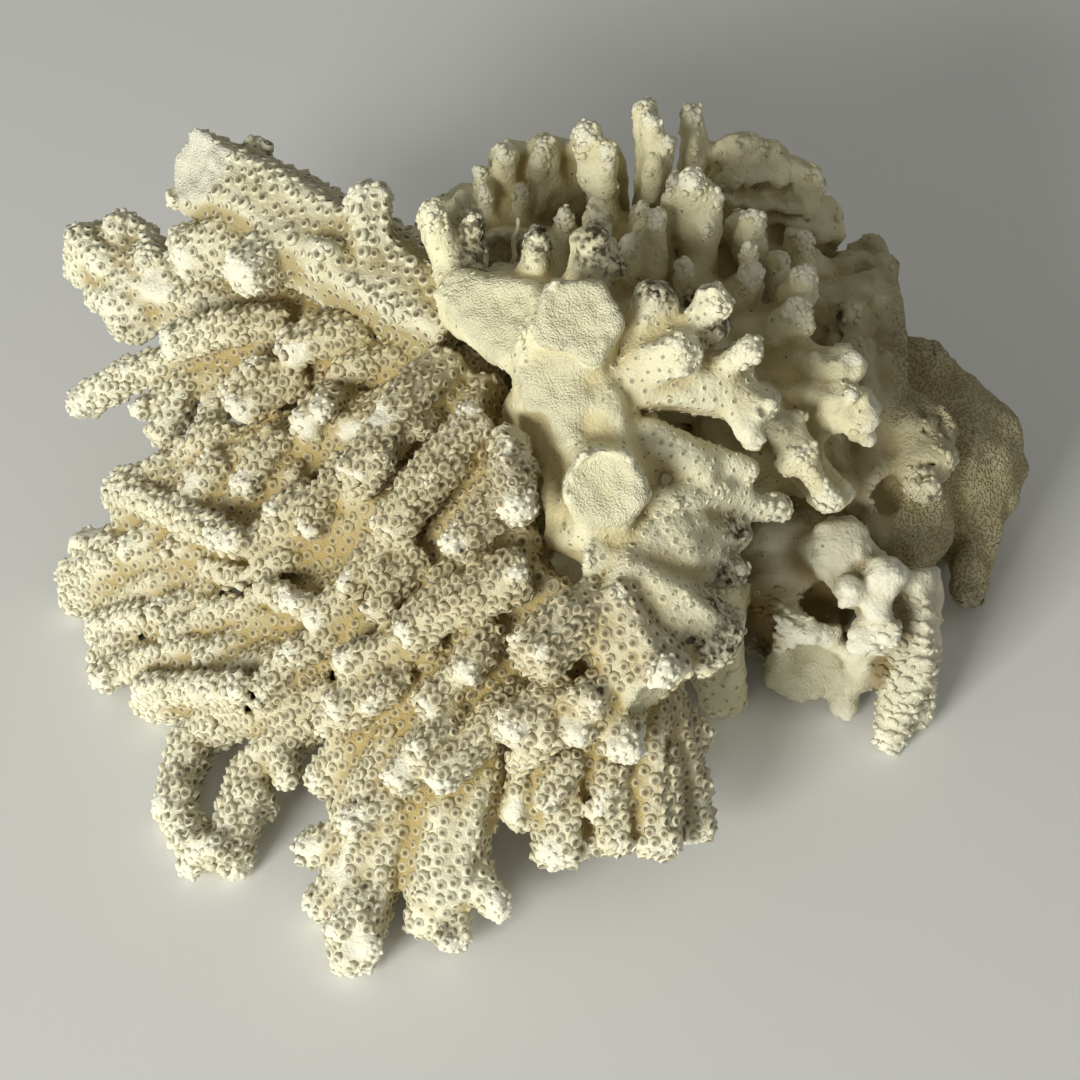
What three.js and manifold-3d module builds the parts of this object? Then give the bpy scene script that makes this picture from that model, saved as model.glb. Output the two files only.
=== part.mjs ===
// A bleached branching coral, in millimetres, with +Z up and the middle of its flat cut at the origin.
import * as THREE from 'three';
import { mergeVertices } from 'three/addons/utils/BufferGeometryUtils.js';
import Module from 'manifold-3d';

const wasm = await Module();
wasm.setup();

// Driving dimensions of the view that the places below are read in.
const PICTURE_MIDDLE = 540; // pixels
const PIXELS_PER_MM = 5.8;
const VIEW_ELEVATION = THREE.MathUtils.degToRad(45);
const VIEW_DISTANCE = 450;
const VIEW_TARGET_HEIGHT = 35;

// Driving dimensions of the left fan: it falls from its hub to a rim that is higher at the back.
const FAN_HUB = [570, 430]; // pixels
const FAN_REACH = [510, 540]; // pixels from the hub to the rim
const FAN_HUB_HEIGHT = 62;
const FAN_RIM_LOW = 3;
const FAN_RIM_HIGH = 42;
const FAN_RIM_START = 600; // pixel row where the rim begins to rise
const FAN_RIM_RISE = 0.1; // per pixel
const FAN_LIMB_DEPTH = 6; // of the limbs' middle below the fan's surface at the hub

// Driving dimensions of the pieces.
const FORK_GAP = 0.45; // between neighbouring pieces, before the clean-up takes some of it
const RING_SPACING = 15; // along a limb
const LIMB_SIDES = 6;
const FINGER_SIDES = 5;
const FINGER_BAND = 17; // the longest part of a finger between two rings
const MASS_SIDES = [10, 6];
const KNOB_SIDES = [6, 4];
const KNOB_RADIUS = 8; // the largest radius of a knob
const TIP_REACH = 0.45; // beyond a branch's path, as a share of its tip's radius
const BRANCH_WOBBLE = 0.09; // share of a radius
const LUMP_WOBBLE = 0.055;
const FINGER_ARCH = 0.08; // share of a finger's length
const TABLE_CUT = [600, 600, 100];
const CUT_MIDDLE = [14, 26]; // of the holdfast's flat cut, from below the middle of the view
const CLEAN_UP = 0.28;
const WELD = 1e-4;

// The point that shows at pixel (u, v) of the view and stands at the given height.
function at(u, v, height) {
  const across = (u - PICTURE_MIDDLE) / PIXELS_PER_MM;
  const up = (PICTURE_MIDDLE - v) / PIXELS_PER_MM;
  const sine = Math.sin(VIEW_ELEVATION);
  const cosine = Math.cos(VIEW_ELEVATION);
  const rise = height - VIEW_TARGET_HEIGHT;
  const nearer = (rise - up * cosine) / (sine - (up * cosine) / VIEW_DISTANCE);
  const shrink = (VIEW_DISTANCE - nearer) / VIEW_DISTANCE;
  return new THREE.Vector3(across * shrink, up * sine * shrink - nearer * cosine, height);
}

// The point of the left fan's surface that shows at pixel (u, v), lifted by some millimetres.
function fan(u, v, lift) {
  const hubwards = 1 - Math.min(1, Math.hypot(
    (u - FAN_HUB[0]) / FAN_REACH[0], (v - FAN_HUB[1]) / FAN_REACH[1]));
  const rim = THREE.MathUtils.clamp(
    FAN_RIM_LOW + (FAN_RIM_START - v) * FAN_RIM_RISE, FAN_RIM_LOW, FAN_RIM_HIGH);
  const sink = lift === undefined ? hubwards * FAN_LIMB_DEPTH : -lift;
  return at(u, v, THREE.MathUtils.lerp(rim, FAN_HUB_HEIGHT, hubwards) - sink);
}

// A limb follows several points, a finger is short and arched, and a lump is a rounded mass.
function limb(path, radii) {
  const bands = Math.max(2, Math.round(new THREE.CatmullRomCurve3(path).getLength() / RING_SPACING));
  return { path, radii, sides: LIMB_SIDES, bands };
}
function finger(root, tip, rootRadius, tipRadius) {
  const middle = root.clone().lerp(tip, 0.5);
  middle.z += root.distanceTo(tip) * FINGER_ARCH;
  const bands = Math.ceil(root.distanceTo(tip) / FINGER_BAND);
  return { path: [root, middle, tip], radii: [rootRadius, tipRadius], sides: FINGER_SIDES, bands };
}
const lump = (centre, radii) => ({ centre, lumpRadii: radii });

const world = (x, y, z) => new THREE.Vector3(x, y, z);

const holdfast = [
  lump(world(...CUT_MIDDLE, 14), [33, 29, 30]),
  limb([world(10, 20, 24), world(7, 12, 46), at(575, 395, 62)], [19, 16, 11]),
  limb([at(575, 415, 61), at(572, 350, 68), at(505, 315, 69), at(455, 298, 66)], [9.5, 9.5, 7.5, 5.5]),
  limb([at(580, 400, 62), at(602, 470, 55), at(598, 550, 47)], [9, 9, 8]),
  limb([at(582, 345, 66), at(577, 321, 79)], [8, 7]),
  limb([at(606, 462, 56), at(603, 496, 61)], [7.5, 6.6]),
  finger(at(466, 290, 67), at(432, 210, 73), 4.2, 3),
  finger(at(474, 268, 68), at(470, 212, 72), 2.8, 2),
  finger(at(530, 292, 70), at(542, 238, 78), 3.6, 2.4),
  finger(at(580, 300, 72), at(595, 240, 80), 4.2, 3.3),
  finger(at(592, 282, 75), at(620, 263, 78), 2.6, 1.9),
  limb([at(708, 585, 22), at(714, 650, 13), at(725, 704, 3)], [7, 5.6, 3.8]),
];

const upperLeftBranch = [
  limb([at(470, 330, 56), at(390, 285, 58), at(310, 235, 60), at(250, 195, 62), at(192, 167, 63)],
    [9, 9.5, 9, 8.5, 7.4]),
  limb([at(320, 250, 58), at(235, 240, 57), at(180, 252, 55)], [7.5, 7, 4.6]),
  finger(at(290, 245, 60), at(240, 275, 60), 6, 4.2),
  finger(at(340, 255, 61), at(318, 262, 64), 5, 4.4),
  finger(at(372, 285, 60), at(368, 190, 73), 5, 3.4),
  finger(at(260, 190, 63), at(255, 147, 67), 4.5, 2.6),
  finger(at(305, 215, 62), at(296, 178, 66), 4.5, 2.6),
  finger(at(345, 230, 61), at(334, 203, 66), 4, 2.4),
];

const fanUpper = [
  limb([fan(490, 352), fan(400, 330), fan(270, 308), fan(160, 286), fan(86, 250)], [7.5, 7.5, 7.5, 7.5, 6]),
  limb([fan(490, 383), fan(400, 372), fan(290, 376), fan(205, 374)], [7.5, 7, 6.6, 4.4]),
  finger(fan(135, 270), fan(118, 222, 3), 5.4, 4.4),
  finger(fan(160, 290), fan(120, 326), 6, 4.6),
  finger(fan(190, 362), fan(77, 404, 1), 3.6, 2.5),
  finger(fan(215, 345), fan(160, 440, 1), 3.8, 2.8),
  finger(fan(168, 395), fan(136, 414, 2), 2.2, 1.6),
  finger(fan(225, 385), fan(205, 438, 1), 3, 2.3),
  finger(fan(290, 325, 3), fan(172, 345, 6), 4, 3.3),
  finger(fan(400, 330, 3), fan(286, 351, 8), 4, 3.4),
  finger(fan(300, 372, 3), fan(238, 411, 6), 4, 3.3),
  finger(fan(350, 380, 0), fan(304, 429, 6), 3.8, 2.9),
  finger(fan(452, 365, 3), fan(356, 482, 9), 4.6, 3.8),
];

const fanMiddle = [
  limb([fan(500, 415), fan(400, 430), fan(280, 455), fan(190, 478), fan(116, 496)], [7.5, 7.5, 7, 5, 3.6]),
  limb([fan(505, 455), fan(400, 520), fan(250, 548), fan(145, 568), fan(74, 596)], [7.5, 7.5, 7, 6, 4.2]),
  limb([fan(320, 480), fan(210, 503), fan(126, 522)], [6.5, 6, 4.4]),
  finger(fan(160, 560), fan(86, 548, 1), 5, 3.6),
  finger(fan(225, 580), fan(116, 608), 5.4, 3.4),
  finger(fan(190, 462), fan(148, 470, 1), 3.4, 2.4),
  finger(fan(350, 462, 3), fan(306, 533, 7), 3, 2.3),
  finger(fan(485, 425, 3), fan(387, 535, 8), 4.4, 3.6),
  finger(fan(398, 530, 3), fan(380, 580, 8), 3, 2.2),
  finger(fan(392, 538, 3), fan(347, 590, 8), 3, 2.3),
  finger(fan(282, 440, 3), fan(243, 492, 6), 3.6, 2.8),
  finger(fan(222, 462, 3), fan(183, 515, 5), 3.6, 2.8),
  finger(fan(310, 495, 3), fan(275, 518, 7), 3.2, 2.5),
  finger(fan(322, 510, 3), fan(250, 548, 6), 4, 3.2),
  finger(fan(295, 552, 3), fan(259, 572, 6), 3.2, 2.4),
];

const fanLower = [
  limb([fan(520, 485), fan(410, 575), fan(270, 625), fan(165, 640), fan(104, 652)], [7.5, 7.5, 6.6, 4.6, 3]),
  limb([fan(525, 515), fan(430, 612), fan(320, 655), fan(220, 682), fan(146, 700)], [7.5, 7, 6.4, 5.6, 4]),
  finger(fan(150, 645), fan(99, 681, 1), 3.6, 2.6),
  finger(fan(250, 652), fan(138, 670), 5.4, 4),
  finger(fan(200, 625), fan(98, 628, 1), 5, 3.2),
  finger(fan(510, 440, 3), fan(516, 512, 8), 3.6, 2.9),
  finger(fan(500, 505, 3), fan(453, 551, 8), 3.4, 2.7),
  finger(fan(525, 572, 3), fan(406, 634, 8), 4.4, 3.6),
  finger(fan(418, 552, 3), fan(374, 615, 8), 3.2, 2.4),
  finger(fan(440, 635, 3), fan(346, 667, 7), 4.2, 3.6),
  finger(fan(298, 655, 3), fan(253, 700, 6), 3.2, 2.5),
  finger(fan(360, 595, 3), fan(312, 620, 6), 3.8, 3),
];

const loopBranch = [
  limb([fan(525, 545), fan(440, 655), fan(340, 695), fan(268, 738), fan(247, 800), fan(224, 860)],
    [6.5, 6, 5.8, 5, 4.2, 3.4]),
  limb([fan(310, 712), fan(222, 708), fan(184, 755), fan(176, 815), fan(205, 860)], [5.5, 6, 4, 3.4, 3.2]),
  finger(fan(410, 675, 3), fan(336, 712, 7), 4.2, 3.6),
  finger(fan(348, 700, 3), fan(321, 728, 6), 3.4, 2.6),
  finger(fan(282, 750, 0), fan(288, 785, 1), 2.8, 1.8),
];

const frontBranch = [
  limb([fan(535, 565), fan(470, 660), fan(408, 745), fan(374, 830), fan(362, 890), fan(350, 966)],
    [7.5, 7, 7.2, 7.6, 6.6, 3.2]),
  limb([fan(550, 575), fan(510, 660), fan(470, 760), fan(447, 850), fan(440, 900)], [7.5, 7, 7.2, 7, 5.6]),
  finger(fan(362, 838), fan(304, 850, 1), 4, 2.6),
  finger(fan(350, 880), fan(314, 909, 1), 3.6, 2.5),
  finger(fan(445, 885), fan(456, 944), 3.8, 2.6),
  finger(fan(436, 890), fan(416, 928), 3.6, 2.6),
  finger(fan(460, 862), fan(501, 910, 1), 3.8, 2.2),
  finger(fan(395, 715), fan(316, 784, 1), 5.4, 2.9),
  finger(fan(450, 705, 3), fan(396, 784, 7), 3.6, 2.9),
  finger(fan(490, 725, 3), fan(436, 784, 7), 3.4, 2.6),
  finger(fan(490, 630, 3), fan(463, 677, 7), 3.4, 2.6),
  finger(fan(470, 668, 3), fan(423, 708, 7), 3.4, 2.6),
];

const frontRightBranch = [
  limb([fan(575, 582), fan(560, 640), fan(545, 740), fan(516, 822)], [7.5, 7, 5.5, 3.4]),
  limb([fan(592, 608), fan(582, 700), fan(566, 790), fan(557, 858)], [7.5, 6.5, 5, 3.8]),
  limb([fan(608, 605), fan(620, 700), fan(618, 780), fan(616, 846)], [8, 7, 5.5, 4.2]),
  limb([fan(626, 620), fan(645, 715), fan(655, 790), fan(658, 848)], [7.5, 6, 5, 3.8]),
  limb([fan(630, 640, -6), at(668, 720, 24), at(685, 790, 15), at(696, 834, 10)], [5.6, 4.6, 4, 3]),
  finger(at(668, 715, 24), at(698, 744, 20), 4.2, 2.8),
  finger(at(678, 760, 18), at(698, 796, 15), 3.8, 2.8),
  finger(fan(572, 815), fan(588, 850), 3, 2),
  finger(fan(570, 690, 3), fan(506, 732, 7), 4.6, 3.7),
  finger(fan(612, 602, 3), fan(529, 659, 9), 5.4, 4.4),
  limb([fan(605, 600, 3), fan(632, 650, 5), fan(656, 690, 6)], [7.2, 7, 6.6]),
  finger(fan(628, 655, 3), fan(583, 707, 8), 4, 3.2),
  finger(fan(604, 688, 3), fan(573, 738, 7), 3.4, 2.6),
  finger(fan(630, 690, 3), fan(622, 755, 7), 4, 3.2),
];

const rightBranchUpper = [
  limb([at(590, 380, 65), at(650, 372, 67), at(712, 388, 64), at(770, 408, 60)], [7, 6, 5, 3]),
  finger(at(632, 358, 68), at(660, 292, 78), 4.8, 3.8),
  finger(at(645, 362, 69), at(692, 350, 74), 4.8, 4),
  finger(at(668, 348, 72), at(724, 326, 73), 3.2, 2.4),
  finger(at(690, 336, 73), at(714, 306, 77), 3, 2.3),
  finger(at(705, 372, 67), at(752, 350, 67), 3, 2.1),
  finger(at(712, 380, 66), at(749, 378, 64), 3, 2.2),
  finger(at(732, 398, 63), at(755, 444, 57), 3, 2),
];

const rightBranchMiddle = [
  limb([at(590, 420, 61), at(655, 444, 59), at(711, 471, 55)], [5.6, 4.4, 2.9]),
  finger(at(672, 448, 58), at(753, 472, 52), 3.2, 2),
];

const rightBranchInner = [
  limb([at(605, 525, 51), at(675, 502, 53), at(726, 483, 52)], [5, 3.6, 2.4]),
  finger(at(655, 512, 51), at(746, 494, 48), 3.6, 2.3),
  finger(at(700, 506, 48), at(784, 508, 44), 2.8, 1.9),
];

const rightBranchLower = [
  limb([at(585, 555, 48), at(640, 558, 48), at(692, 543, 46), at(739, 530, 43)], [8, 7.5, 5.5, 3]),
  finger(at(672, 560, 46), at(736, 574, 40), 4.6, 3),
  limb([at(610, 575, 47), at(670, 614, 43), at(722, 648, 37)], [7.2, 6.4, 5.4]),
  finger(at(640, 545, 49), at(700, 522, 49), 4.2, 3),
];

const crownLeft = [
  lump(world(-2, 53, 40), [22, 15, 21]),
  lump(world(-4, 40, 48), [14, 14, 14]),
  finger(at(480, 250, 46), at(430, 216, 50), 6.4, 5),
  finger(at(492, 242, 50), at(454, 199, 55), 5.8, 4.6),
  finger(at(508, 232, 52), at(486, 182, 59), 5.2, 4.2),
  finger(at(520, 225, 50), at(508, 148, 66), 4.6, 3.4),
  finger(at(540, 210, 52), at(530, 154, 64), 3, 2),
  finger(at(552, 225, 50), at(546, 142, 68), 4.8, 3.5),
  finger(at(524, 235, 53), at(520, 187, 61), 3, 1.9),
  finger(at(584, 220, 50), at(585, 131, 71), 4.2, 3),
  finger(at(568, 255, 55), at(565, 214, 63), 3, 1.9),
];

const crownMiddle = [
  lump(world(20, 51, 40), [20, 16, 24]),
  lump(world(22, 34, 48), [16, 15, 14]),
  lump(world(36, 57, 40), [13, 13, 18]),
  limb([at(650, 250, 52), at(652, 172, 67), at(650, 130, 75), at(643, 103, 80)], [4.8, 3.4, 3, 2.2]),
  finger(at(610, 230, 50), at(604, 145, 69), 4, 2.6),
  finger(at(600, 240, 53), at(600, 181, 66), 3.4, 2.2),
  finger(at(600, 270, 56), at(596, 210, 68), 3.4, 2.4),
  finger(at(637, 285, 59), at(632, 242, 66), 3, 1.9),
  finger(at(655, 282, 59), at(655, 218, 70), 3.6, 2.4),
  finger(at(640, 255, 57), at(640, 206, 66), 3, 1.9),
  finger(at(652, 172, 67), at(669, 147, 71), 2.8, 2),
  finger(at(700, 205, 55), at(689, 107, 77), 4.4, 1.9),
  finger(at(690, 255, 55), at(695, 185, 70), 4.4, 3.2),
  finger(at(702, 282, 57), at(700, 225, 68), 3.6, 2.5),
  finger(at(716, 305, 56), at(685, 263, 64), 3.6, 2),
  finger(at(738, 282, 53), at(745, 220, 66), 4.6, 3.6),
  finger(at(732, 285, 55), at(751, 248, 62), 3, 1.9),
  finger(at(728, 225, 52), at(738, 145, 68), 6.4, 4.4),
  finger(at(755, 230, 50), at(766, 153, 66), 6, 4),
];

const crownRight = [
  lump(world(40, 28, 35), [17, 18, 20]),
  lump(world(44, 53, 36), [14, 14, 20]),
  finger(at(782, 240, 47), at(796, 171, 62), 6, 4.4),
  finger(at(798, 250, 44), at(823, 204, 54), 6, 4),
  finger(at(708, 315, 55), at(756, 278, 61), 4.4, 3.1),
  finger(at(742, 292, 52), at(784, 264, 59), 3.6, 2.4),
  finger(at(760, 308, 51), at(811, 287, 57), 4.4, 3),
  finger(at(785, 282, 48), at(800, 233, 57), 4, 2),
  finger(at(730, 338, 53), at(804, 320, 58), 5, 3.5),
  finger(at(765, 356, 50), at(849, 376, 54), 4.4, 2.9),
  finger(at(775, 396, 47), at(864, 419, 51), 4.6, 3.2),
  finger(at(828, 405, 49), at(851, 394, 53), 2.8, 1.9),
  finger(at(750, 402, 49), at(804, 464, 48), 5.2, 4),
  finger(at(788, 438, 42), at(834, 503, 40), 4.6, 3),
  finger(at(780, 406, 47), at(812, 415, 50), 3, 1.7),
  finger(at(792, 430, 44), at(829, 432, 47), 3, 1.7),
];

const rightMass = [
  lump(world(54, 52, 31), [14, 17, 20]),
  lump(world(55, 36, 27), [14, 18, 21]),
  lump(world(68, 46, 20), [15, 15, 20]),
  lump(world(74, 37, 17), [17, 17, 20]),
  lump(world(60, 25, 18), [17, 17, 21]),
  limb([at(862, 265, 40), at(872, 310, 41), at(890, 365, 37), at(892, 410, 31)], [6, 6, 5.5, 4]),
  finger(at(910, 390, 32), at(926, 493, 14), 6.8, 5),
  finger(at(974, 515, 16), at(967, 600, 3), 5.4, 2.7),
];

const rightFeet = [
  lump(world(44, 12, 15), [15, 13, 21]),
  limb([at(812, 610, 20), at(806, 640, 12), at(800, 673, 4)], [6, 6, 7.4]),
  limb([at(900, 575, 23), at(912, 640, 15), at(906, 690, 8), at(887, 746, 1)], [6.4, 5.6, 5, 2.4]),
  finger(at(838, 655, 9), at(846, 712, 2), 3.4, 2.2),
  finger(at(862, 640, 14), at(866, 678, 6), 5, 3.2),
  finger(at(914, 665, 10), at(919, 720, 2), 3.8, 2.4),
  lump(at(840, 550, 30), [7, 6, 7]),
  lump(at(886, 580, 26), [4, 4, 4]),
  lump(at(850, 590, 25), [3.4, 3.4, 3.4]),
  lump(at(874, 606, 22), [3.4, 3.6, 3.6]),
  lump(at(873, 634, 18), [4.4, 4.4, 4.4]),
];

// Pieces in the order in which they keep their form: a later one is cut back from those before it.
const PIECES = {
  holdfast: { growths: holdfast, colour: 0xe6dfc4 },
  right_branch_upper: { growths: rightBranchUpper, colour: 0xded5b6 },
  right_branch_middle: { growths: rightBranchMiddle, colour: 0xded5b6 },
  right_branch_lower: { growths: rightBranchLower, colour: 0xd3c9a8 },
  right_branch_inner: { growths: rightBranchInner, colour: 0xd8cfb0 },
  upper_left_branch: { growths: upperLeftBranch, colour: 0xd9d0b2 },
  fan_upper: { growths: fanUpper, colour: 0xd6cba6 },
  fan_middle: { growths: fanMiddle, colour: 0xd6caa2 },
  fan_lower: { growths: fanLower, colour: 0xd8cda8 },
  loop_branch: { growths: loopBranch, colour: 0xdcd2ae },
  front_branch: { growths: frontBranch, colour: 0xddd4b4 },
  front_right_branch: { growths: frontRightBranch, colour: 0xd4cbab },
  crown_middle: { growths: crownMiddle, colour: 0xc9c2a6 },
  crown_left: { growths: crownLeft, colour: 0xc4bda2 },
  crown_right: { growths: crownRight, colour: 0xccc5aa },
  right_mass: { growths: rightMass, colour: 0xb9ad8b },
  right_feet: { growths: rightFeet, colour: 0xddd3b0 },
};
const ROUGHNESS = 0.92;

// A repeatable value from -1 to 1 that gives grown surfaces their unevenness.
function unevenness(a, b, c) {
  const wave = Math.sin(a * 127.1 + b * 311.7 + c * 74.7) * 43758.5453;
  return (wave - Math.floor(wave)) * 2 - 1;
}

// A round branch with a blunt tip: a turned profile bent along the branch's path.
function branchGeometry({ path, radii, sides, bands }, grow) {
  const curve = new THREE.CatmullRomCurve3(path);
  const frames = curve.computeFrenetFrames(bands);
  const stations = [{ band: 0, radius: 0, beyond: -grow }];
  for (let band = 0; band <= bands; band += 1) {
    const place = (band / bands) * (radii.length - 1);
    const start = Math.min(Math.floor(place), radii.length - 2);
    const radius = THREE.MathUtils.lerp(radii[start], radii[start + 1], place - start) + grow;
    stations.push({ band, radius, beyond: band === 0 ? -grow : 0 });
  }
  const tipRadius = stations[stations.length - 1].radius;
  stations.push({ band: bands, radius: 0, beyond: tipRadius * TIP_REACH });

  const fullness = Math.sqrt((2 * Math.PI) / (sides * Math.sin((2 * Math.PI) / sides)));
  const profile = stations.map((station, index) => new THREE.Vector2(station.radius * fullness, index));
  const geometry = new THREE.LatheGeometry(profile, sides);
  const position = geometry.attributes.position;
  const seed = path[0].x + path[path.length - 1].y;
  for (let vertex = 0; vertex < position.count; vertex += 1) {
    const index = Math.round(position.getY(vertex));
    const { band, beyond } = stations[index];
    const side = Math.floor(vertex / profile.length) % sides;
    const swell = 1 + BRANCH_WOBBLE * unevenness(index, side, seed);
    const point = curve.getPointAt(band / bands)
      .addScaledVector(frames.normals[band], position.getZ(vertex) * swell)
      .addScaledVector(frames.binormals[band], position.getX(vertex) * swell)
      .addScaledVector(frames.tangents[band], beyond);
    position.setXYZ(vertex, point.x, point.y, point.z);
  }
  return geometry;
}

// A rounded, slightly uneven mass.
function lumpGeometry({ centre, lumpRadii }, grow) {
  const sides = Math.max(...lumpRadii) > KNOB_RADIUS ? MASS_SIDES : KNOB_SIDES;
  const geometry = new THREE.SphereGeometry(1, ...sides);
  const position = geometry.attributes.position;
  const direction = new THREE.Vector3();
  for (let vertex = 0; vertex < position.count; vertex += 1) {
    direction.fromBufferAttribute(position, vertex);
    const [a, b, c] = direction.toArray().map((value) => Math.round(value * 1000));
    const swell = 1 + LUMP_WOBBLE * unevenness(a, b, c + centre.x);
    position.setXYZ(
      vertex,
      centre.x + direction.x * (lumpRadii[0] * swell + grow),
      centre.y + direction.y * (lumpRadii[1] * swell + grow),
      centre.z + direction.z * (lumpRadii[2] * swell + grow),
    );
  }
  return geometry;
}

function solidOf(geometry) {
  geometry.deleteAttribute('normal');
  geometry.deleteAttribute('uv');
  const merged = mergeVertices(geometry, WELD);
  return new wasm.Manifold(new wasm.Mesh({
    numProp: 3,
    vertProperties: new Float32Array(merged.attributes.position.array),
    triVerts: new Uint32Array(merged.index.array),
  }));
}

function joined(growths, grow) {
  const solids = growths.map((growth) => solidOf(
    growth.path ? branchGeometry(growth, grow) : lumpGeometry(growth, grow)));
  return solids.reduce((whole, solid) => whole.add(solid));
}

function geometryOf(solid) {
  const mesh = solid.getMesh();
  const geometry = new THREE.BufferGeometry();
  geometry.setAttribute('position', new THREE.BufferAttribute(new Float32Array(mesh.vertProperties), 3));
  geometry.setIndex(new THREE.BufferAttribute(new Uint32Array(mesh.triVerts), 1));
  geometry.computeVertexNormals();
  return geometry;
}

const belowTable = solidOf(new THREE.BoxGeometry(...TABLE_CUT).translate(0, 0, -TABLE_CUT[2] / 2));
const coral = new THREE.Group();
coral.position.set(-CUT_MIDDLE[0], -CUT_MIDDLE[1], 0);
const spacesTaken = [];
for (const [name, { growths, colour }] of Object.entries(PIECES)) {
  const cut = spacesTaken.reduce(
    (solid, space) => solid.subtract(space), joined(growths, 0).subtract(belowTable));
  const bodies = cut.asOriginal().simplify(CLEAN_UP).decompose();
  const whole = bodies.reduce((largest, body) => (body.volume() > largest.volume() ? body : largest));
  const material = new THREE.MeshStandardMaterial({ color: colour, roughness: ROUGHNESS, metalness: 0 });
  const mesh = new THREE.Mesh(geometryOf(whole), material);
  mesh.name = name;
  coral.add(mesh);
  spacesTaken.push(joined(growths, FORK_GAP));
}

export default coral;
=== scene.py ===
import itertools
import math

import bpy
import numpy as np
import openvdb
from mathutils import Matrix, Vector
from mathutils.bvhtree import BVHTree


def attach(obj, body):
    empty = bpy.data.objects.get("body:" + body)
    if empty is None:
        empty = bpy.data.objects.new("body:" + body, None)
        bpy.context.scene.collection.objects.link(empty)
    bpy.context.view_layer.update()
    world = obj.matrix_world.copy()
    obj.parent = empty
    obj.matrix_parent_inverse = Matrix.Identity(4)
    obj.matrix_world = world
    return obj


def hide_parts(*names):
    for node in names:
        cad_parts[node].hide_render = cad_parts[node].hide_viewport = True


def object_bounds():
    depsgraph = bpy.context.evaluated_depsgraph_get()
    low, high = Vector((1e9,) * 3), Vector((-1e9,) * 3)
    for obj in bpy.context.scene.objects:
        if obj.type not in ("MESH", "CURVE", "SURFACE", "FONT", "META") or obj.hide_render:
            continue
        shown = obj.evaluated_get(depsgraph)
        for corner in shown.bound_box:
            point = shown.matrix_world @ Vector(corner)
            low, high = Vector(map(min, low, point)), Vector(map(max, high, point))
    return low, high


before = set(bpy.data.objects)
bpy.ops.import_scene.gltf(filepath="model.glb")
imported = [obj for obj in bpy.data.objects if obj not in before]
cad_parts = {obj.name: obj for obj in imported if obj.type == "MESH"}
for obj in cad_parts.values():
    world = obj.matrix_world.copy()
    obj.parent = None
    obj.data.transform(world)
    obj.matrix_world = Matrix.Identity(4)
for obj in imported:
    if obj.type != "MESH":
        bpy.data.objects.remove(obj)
cad_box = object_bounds()

# Lengths are in millimetres up to the making of the meshes.
MM = 0.001
SEED = 7
random = np.random.default_rng(SEED)

# The view that the places on the coral are read in, in pixels of a picture of 1080 by 1080.
PICTURE_MIDDLE = 540
PIXELS_PER_MM = 5.8
VIEW_DISTANCE = 450
VIEW_TARGET = np.array([-14.0, -26.0, 35.0])
VIEW_ELEVATION = math.radians(45)
VIEW_BACK = np.array([0, -math.cos(VIEW_ELEVATION), math.sin(VIEW_ELEVATION)])
VIEW_UP = np.array([0, math.sin(VIEW_ELEVATION), math.cos(VIEW_ELEVATION)])
VIEW_RIGHT = np.array([1.0, 0, 0])
eye = VIEW_TARGET + VIEW_DISTANCE * VIEW_BACK

# The parts of the coral and their materials. All parts of the fan but the last have webs.
FAN_NODES = ["fan_upper", "fan_middle", "fan_lower", "loop_branch", "front_branch", "front_right_branch"]
WEBBED_NODES = FAN_NODES[:-1]
RIGHT_BRANCHES = ["right_branch_upper", "right_branch_middle", "right_branch_inner", "right_branch_lower"]
CROWN_NODES = ["crown_left", "crown_middle", "crown_right"]
SMOOTH_NODES = ["holdfast", "right_mass", "right_feet"]
SLOTS = {
    "holdfast": "smooth_coral",
    "upper_left_branch": "pitted_coral",
    "right_mass": "porous_coral",
    "right_feet": "rippled_coral",
    **{node: "scaly_coral" for node in FAN_NODES},
    **{node: "pored_coral" for node in RIGHT_BRANCHES},
    **{node: "worn_coral" for node in CROWN_NODES},
}
node_names = sorted(SLOTS)

# The grid that holds the coral's form: the size of a cell, the room around the solids, and how many
# cells from a surface its distance is known.
VOXEL = 0.9
GRID_MARGIN = 5
BAND = 6
FAR_OUT = BAND * VOXEL
low_cell = np.floor((np.array(cad_box[0]) / MM - GRID_MARGIN) / VOXEL).astype(int)
high_cell = np.ceil((np.array(cad_box[1]) / MM + GRID_MARGIN) / VOXEL).astype(int)
first_cell = tuple(int(i) for i in low_cell)
cells = tuple(high_cell - low_cell + 1)
grid_scale = openvdb.createLinearTransform(VOXEL)
NEIGHBOURS = list(itertools.product((-1, 0, 1), repeat=3))
BELL_WIDTH = 2.6


def solid_mesh(node):
    """A CAD node's points, in metres, and its triangles."""
    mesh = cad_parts[node].data
    mesh.calc_loop_triangles()
    return [vertex.co for vertex in mesh.vertices], [list(t.vertices) for t in mesh.loop_triangles]


def node_field(node):
    """Distance from a CAD node's surface, below zero inside it."""
    points, triangles = solid_mesh(node)
    volume = openvdb.FloatGrid.createLevelSetFromPolygons(
        np.array(points, np.float32) / np.float32(MM),
        triangles=np.array(triangles, np.uint32),
        transform=grid_scale,
        halfWidth=BAND,
    )
    field = np.empty(cells, np.float32)
    volume.copyToArray(field, ijk=first_cell)
    return field


def blurred(field, reach):
    """The field averaged by a bell curve of that reach."""
    count = math.ceil(BELL_WIDTH * reach / VOXEL)
    weights = np.exp(-0.5 * (np.arange(-count, count + 1) * VOXEL / reach) ** 2)
    weights = (weights / weights.sum()).astype(np.float32)
    for axis in range(3):
        padding = [(count, count) if a == axis else (0, 0) for a in range(3)]
        padded = np.pad(field, padding, mode="edge")
        field = np.zeros_like(field)
        for shift, weight in enumerate(weights):
            shifted = [slice(None)] * 3
            shifted[axis] = slice(shift, shift + field.shape[axis])
            field += weight * padded[tuple(shifted)]
    return field


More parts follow.
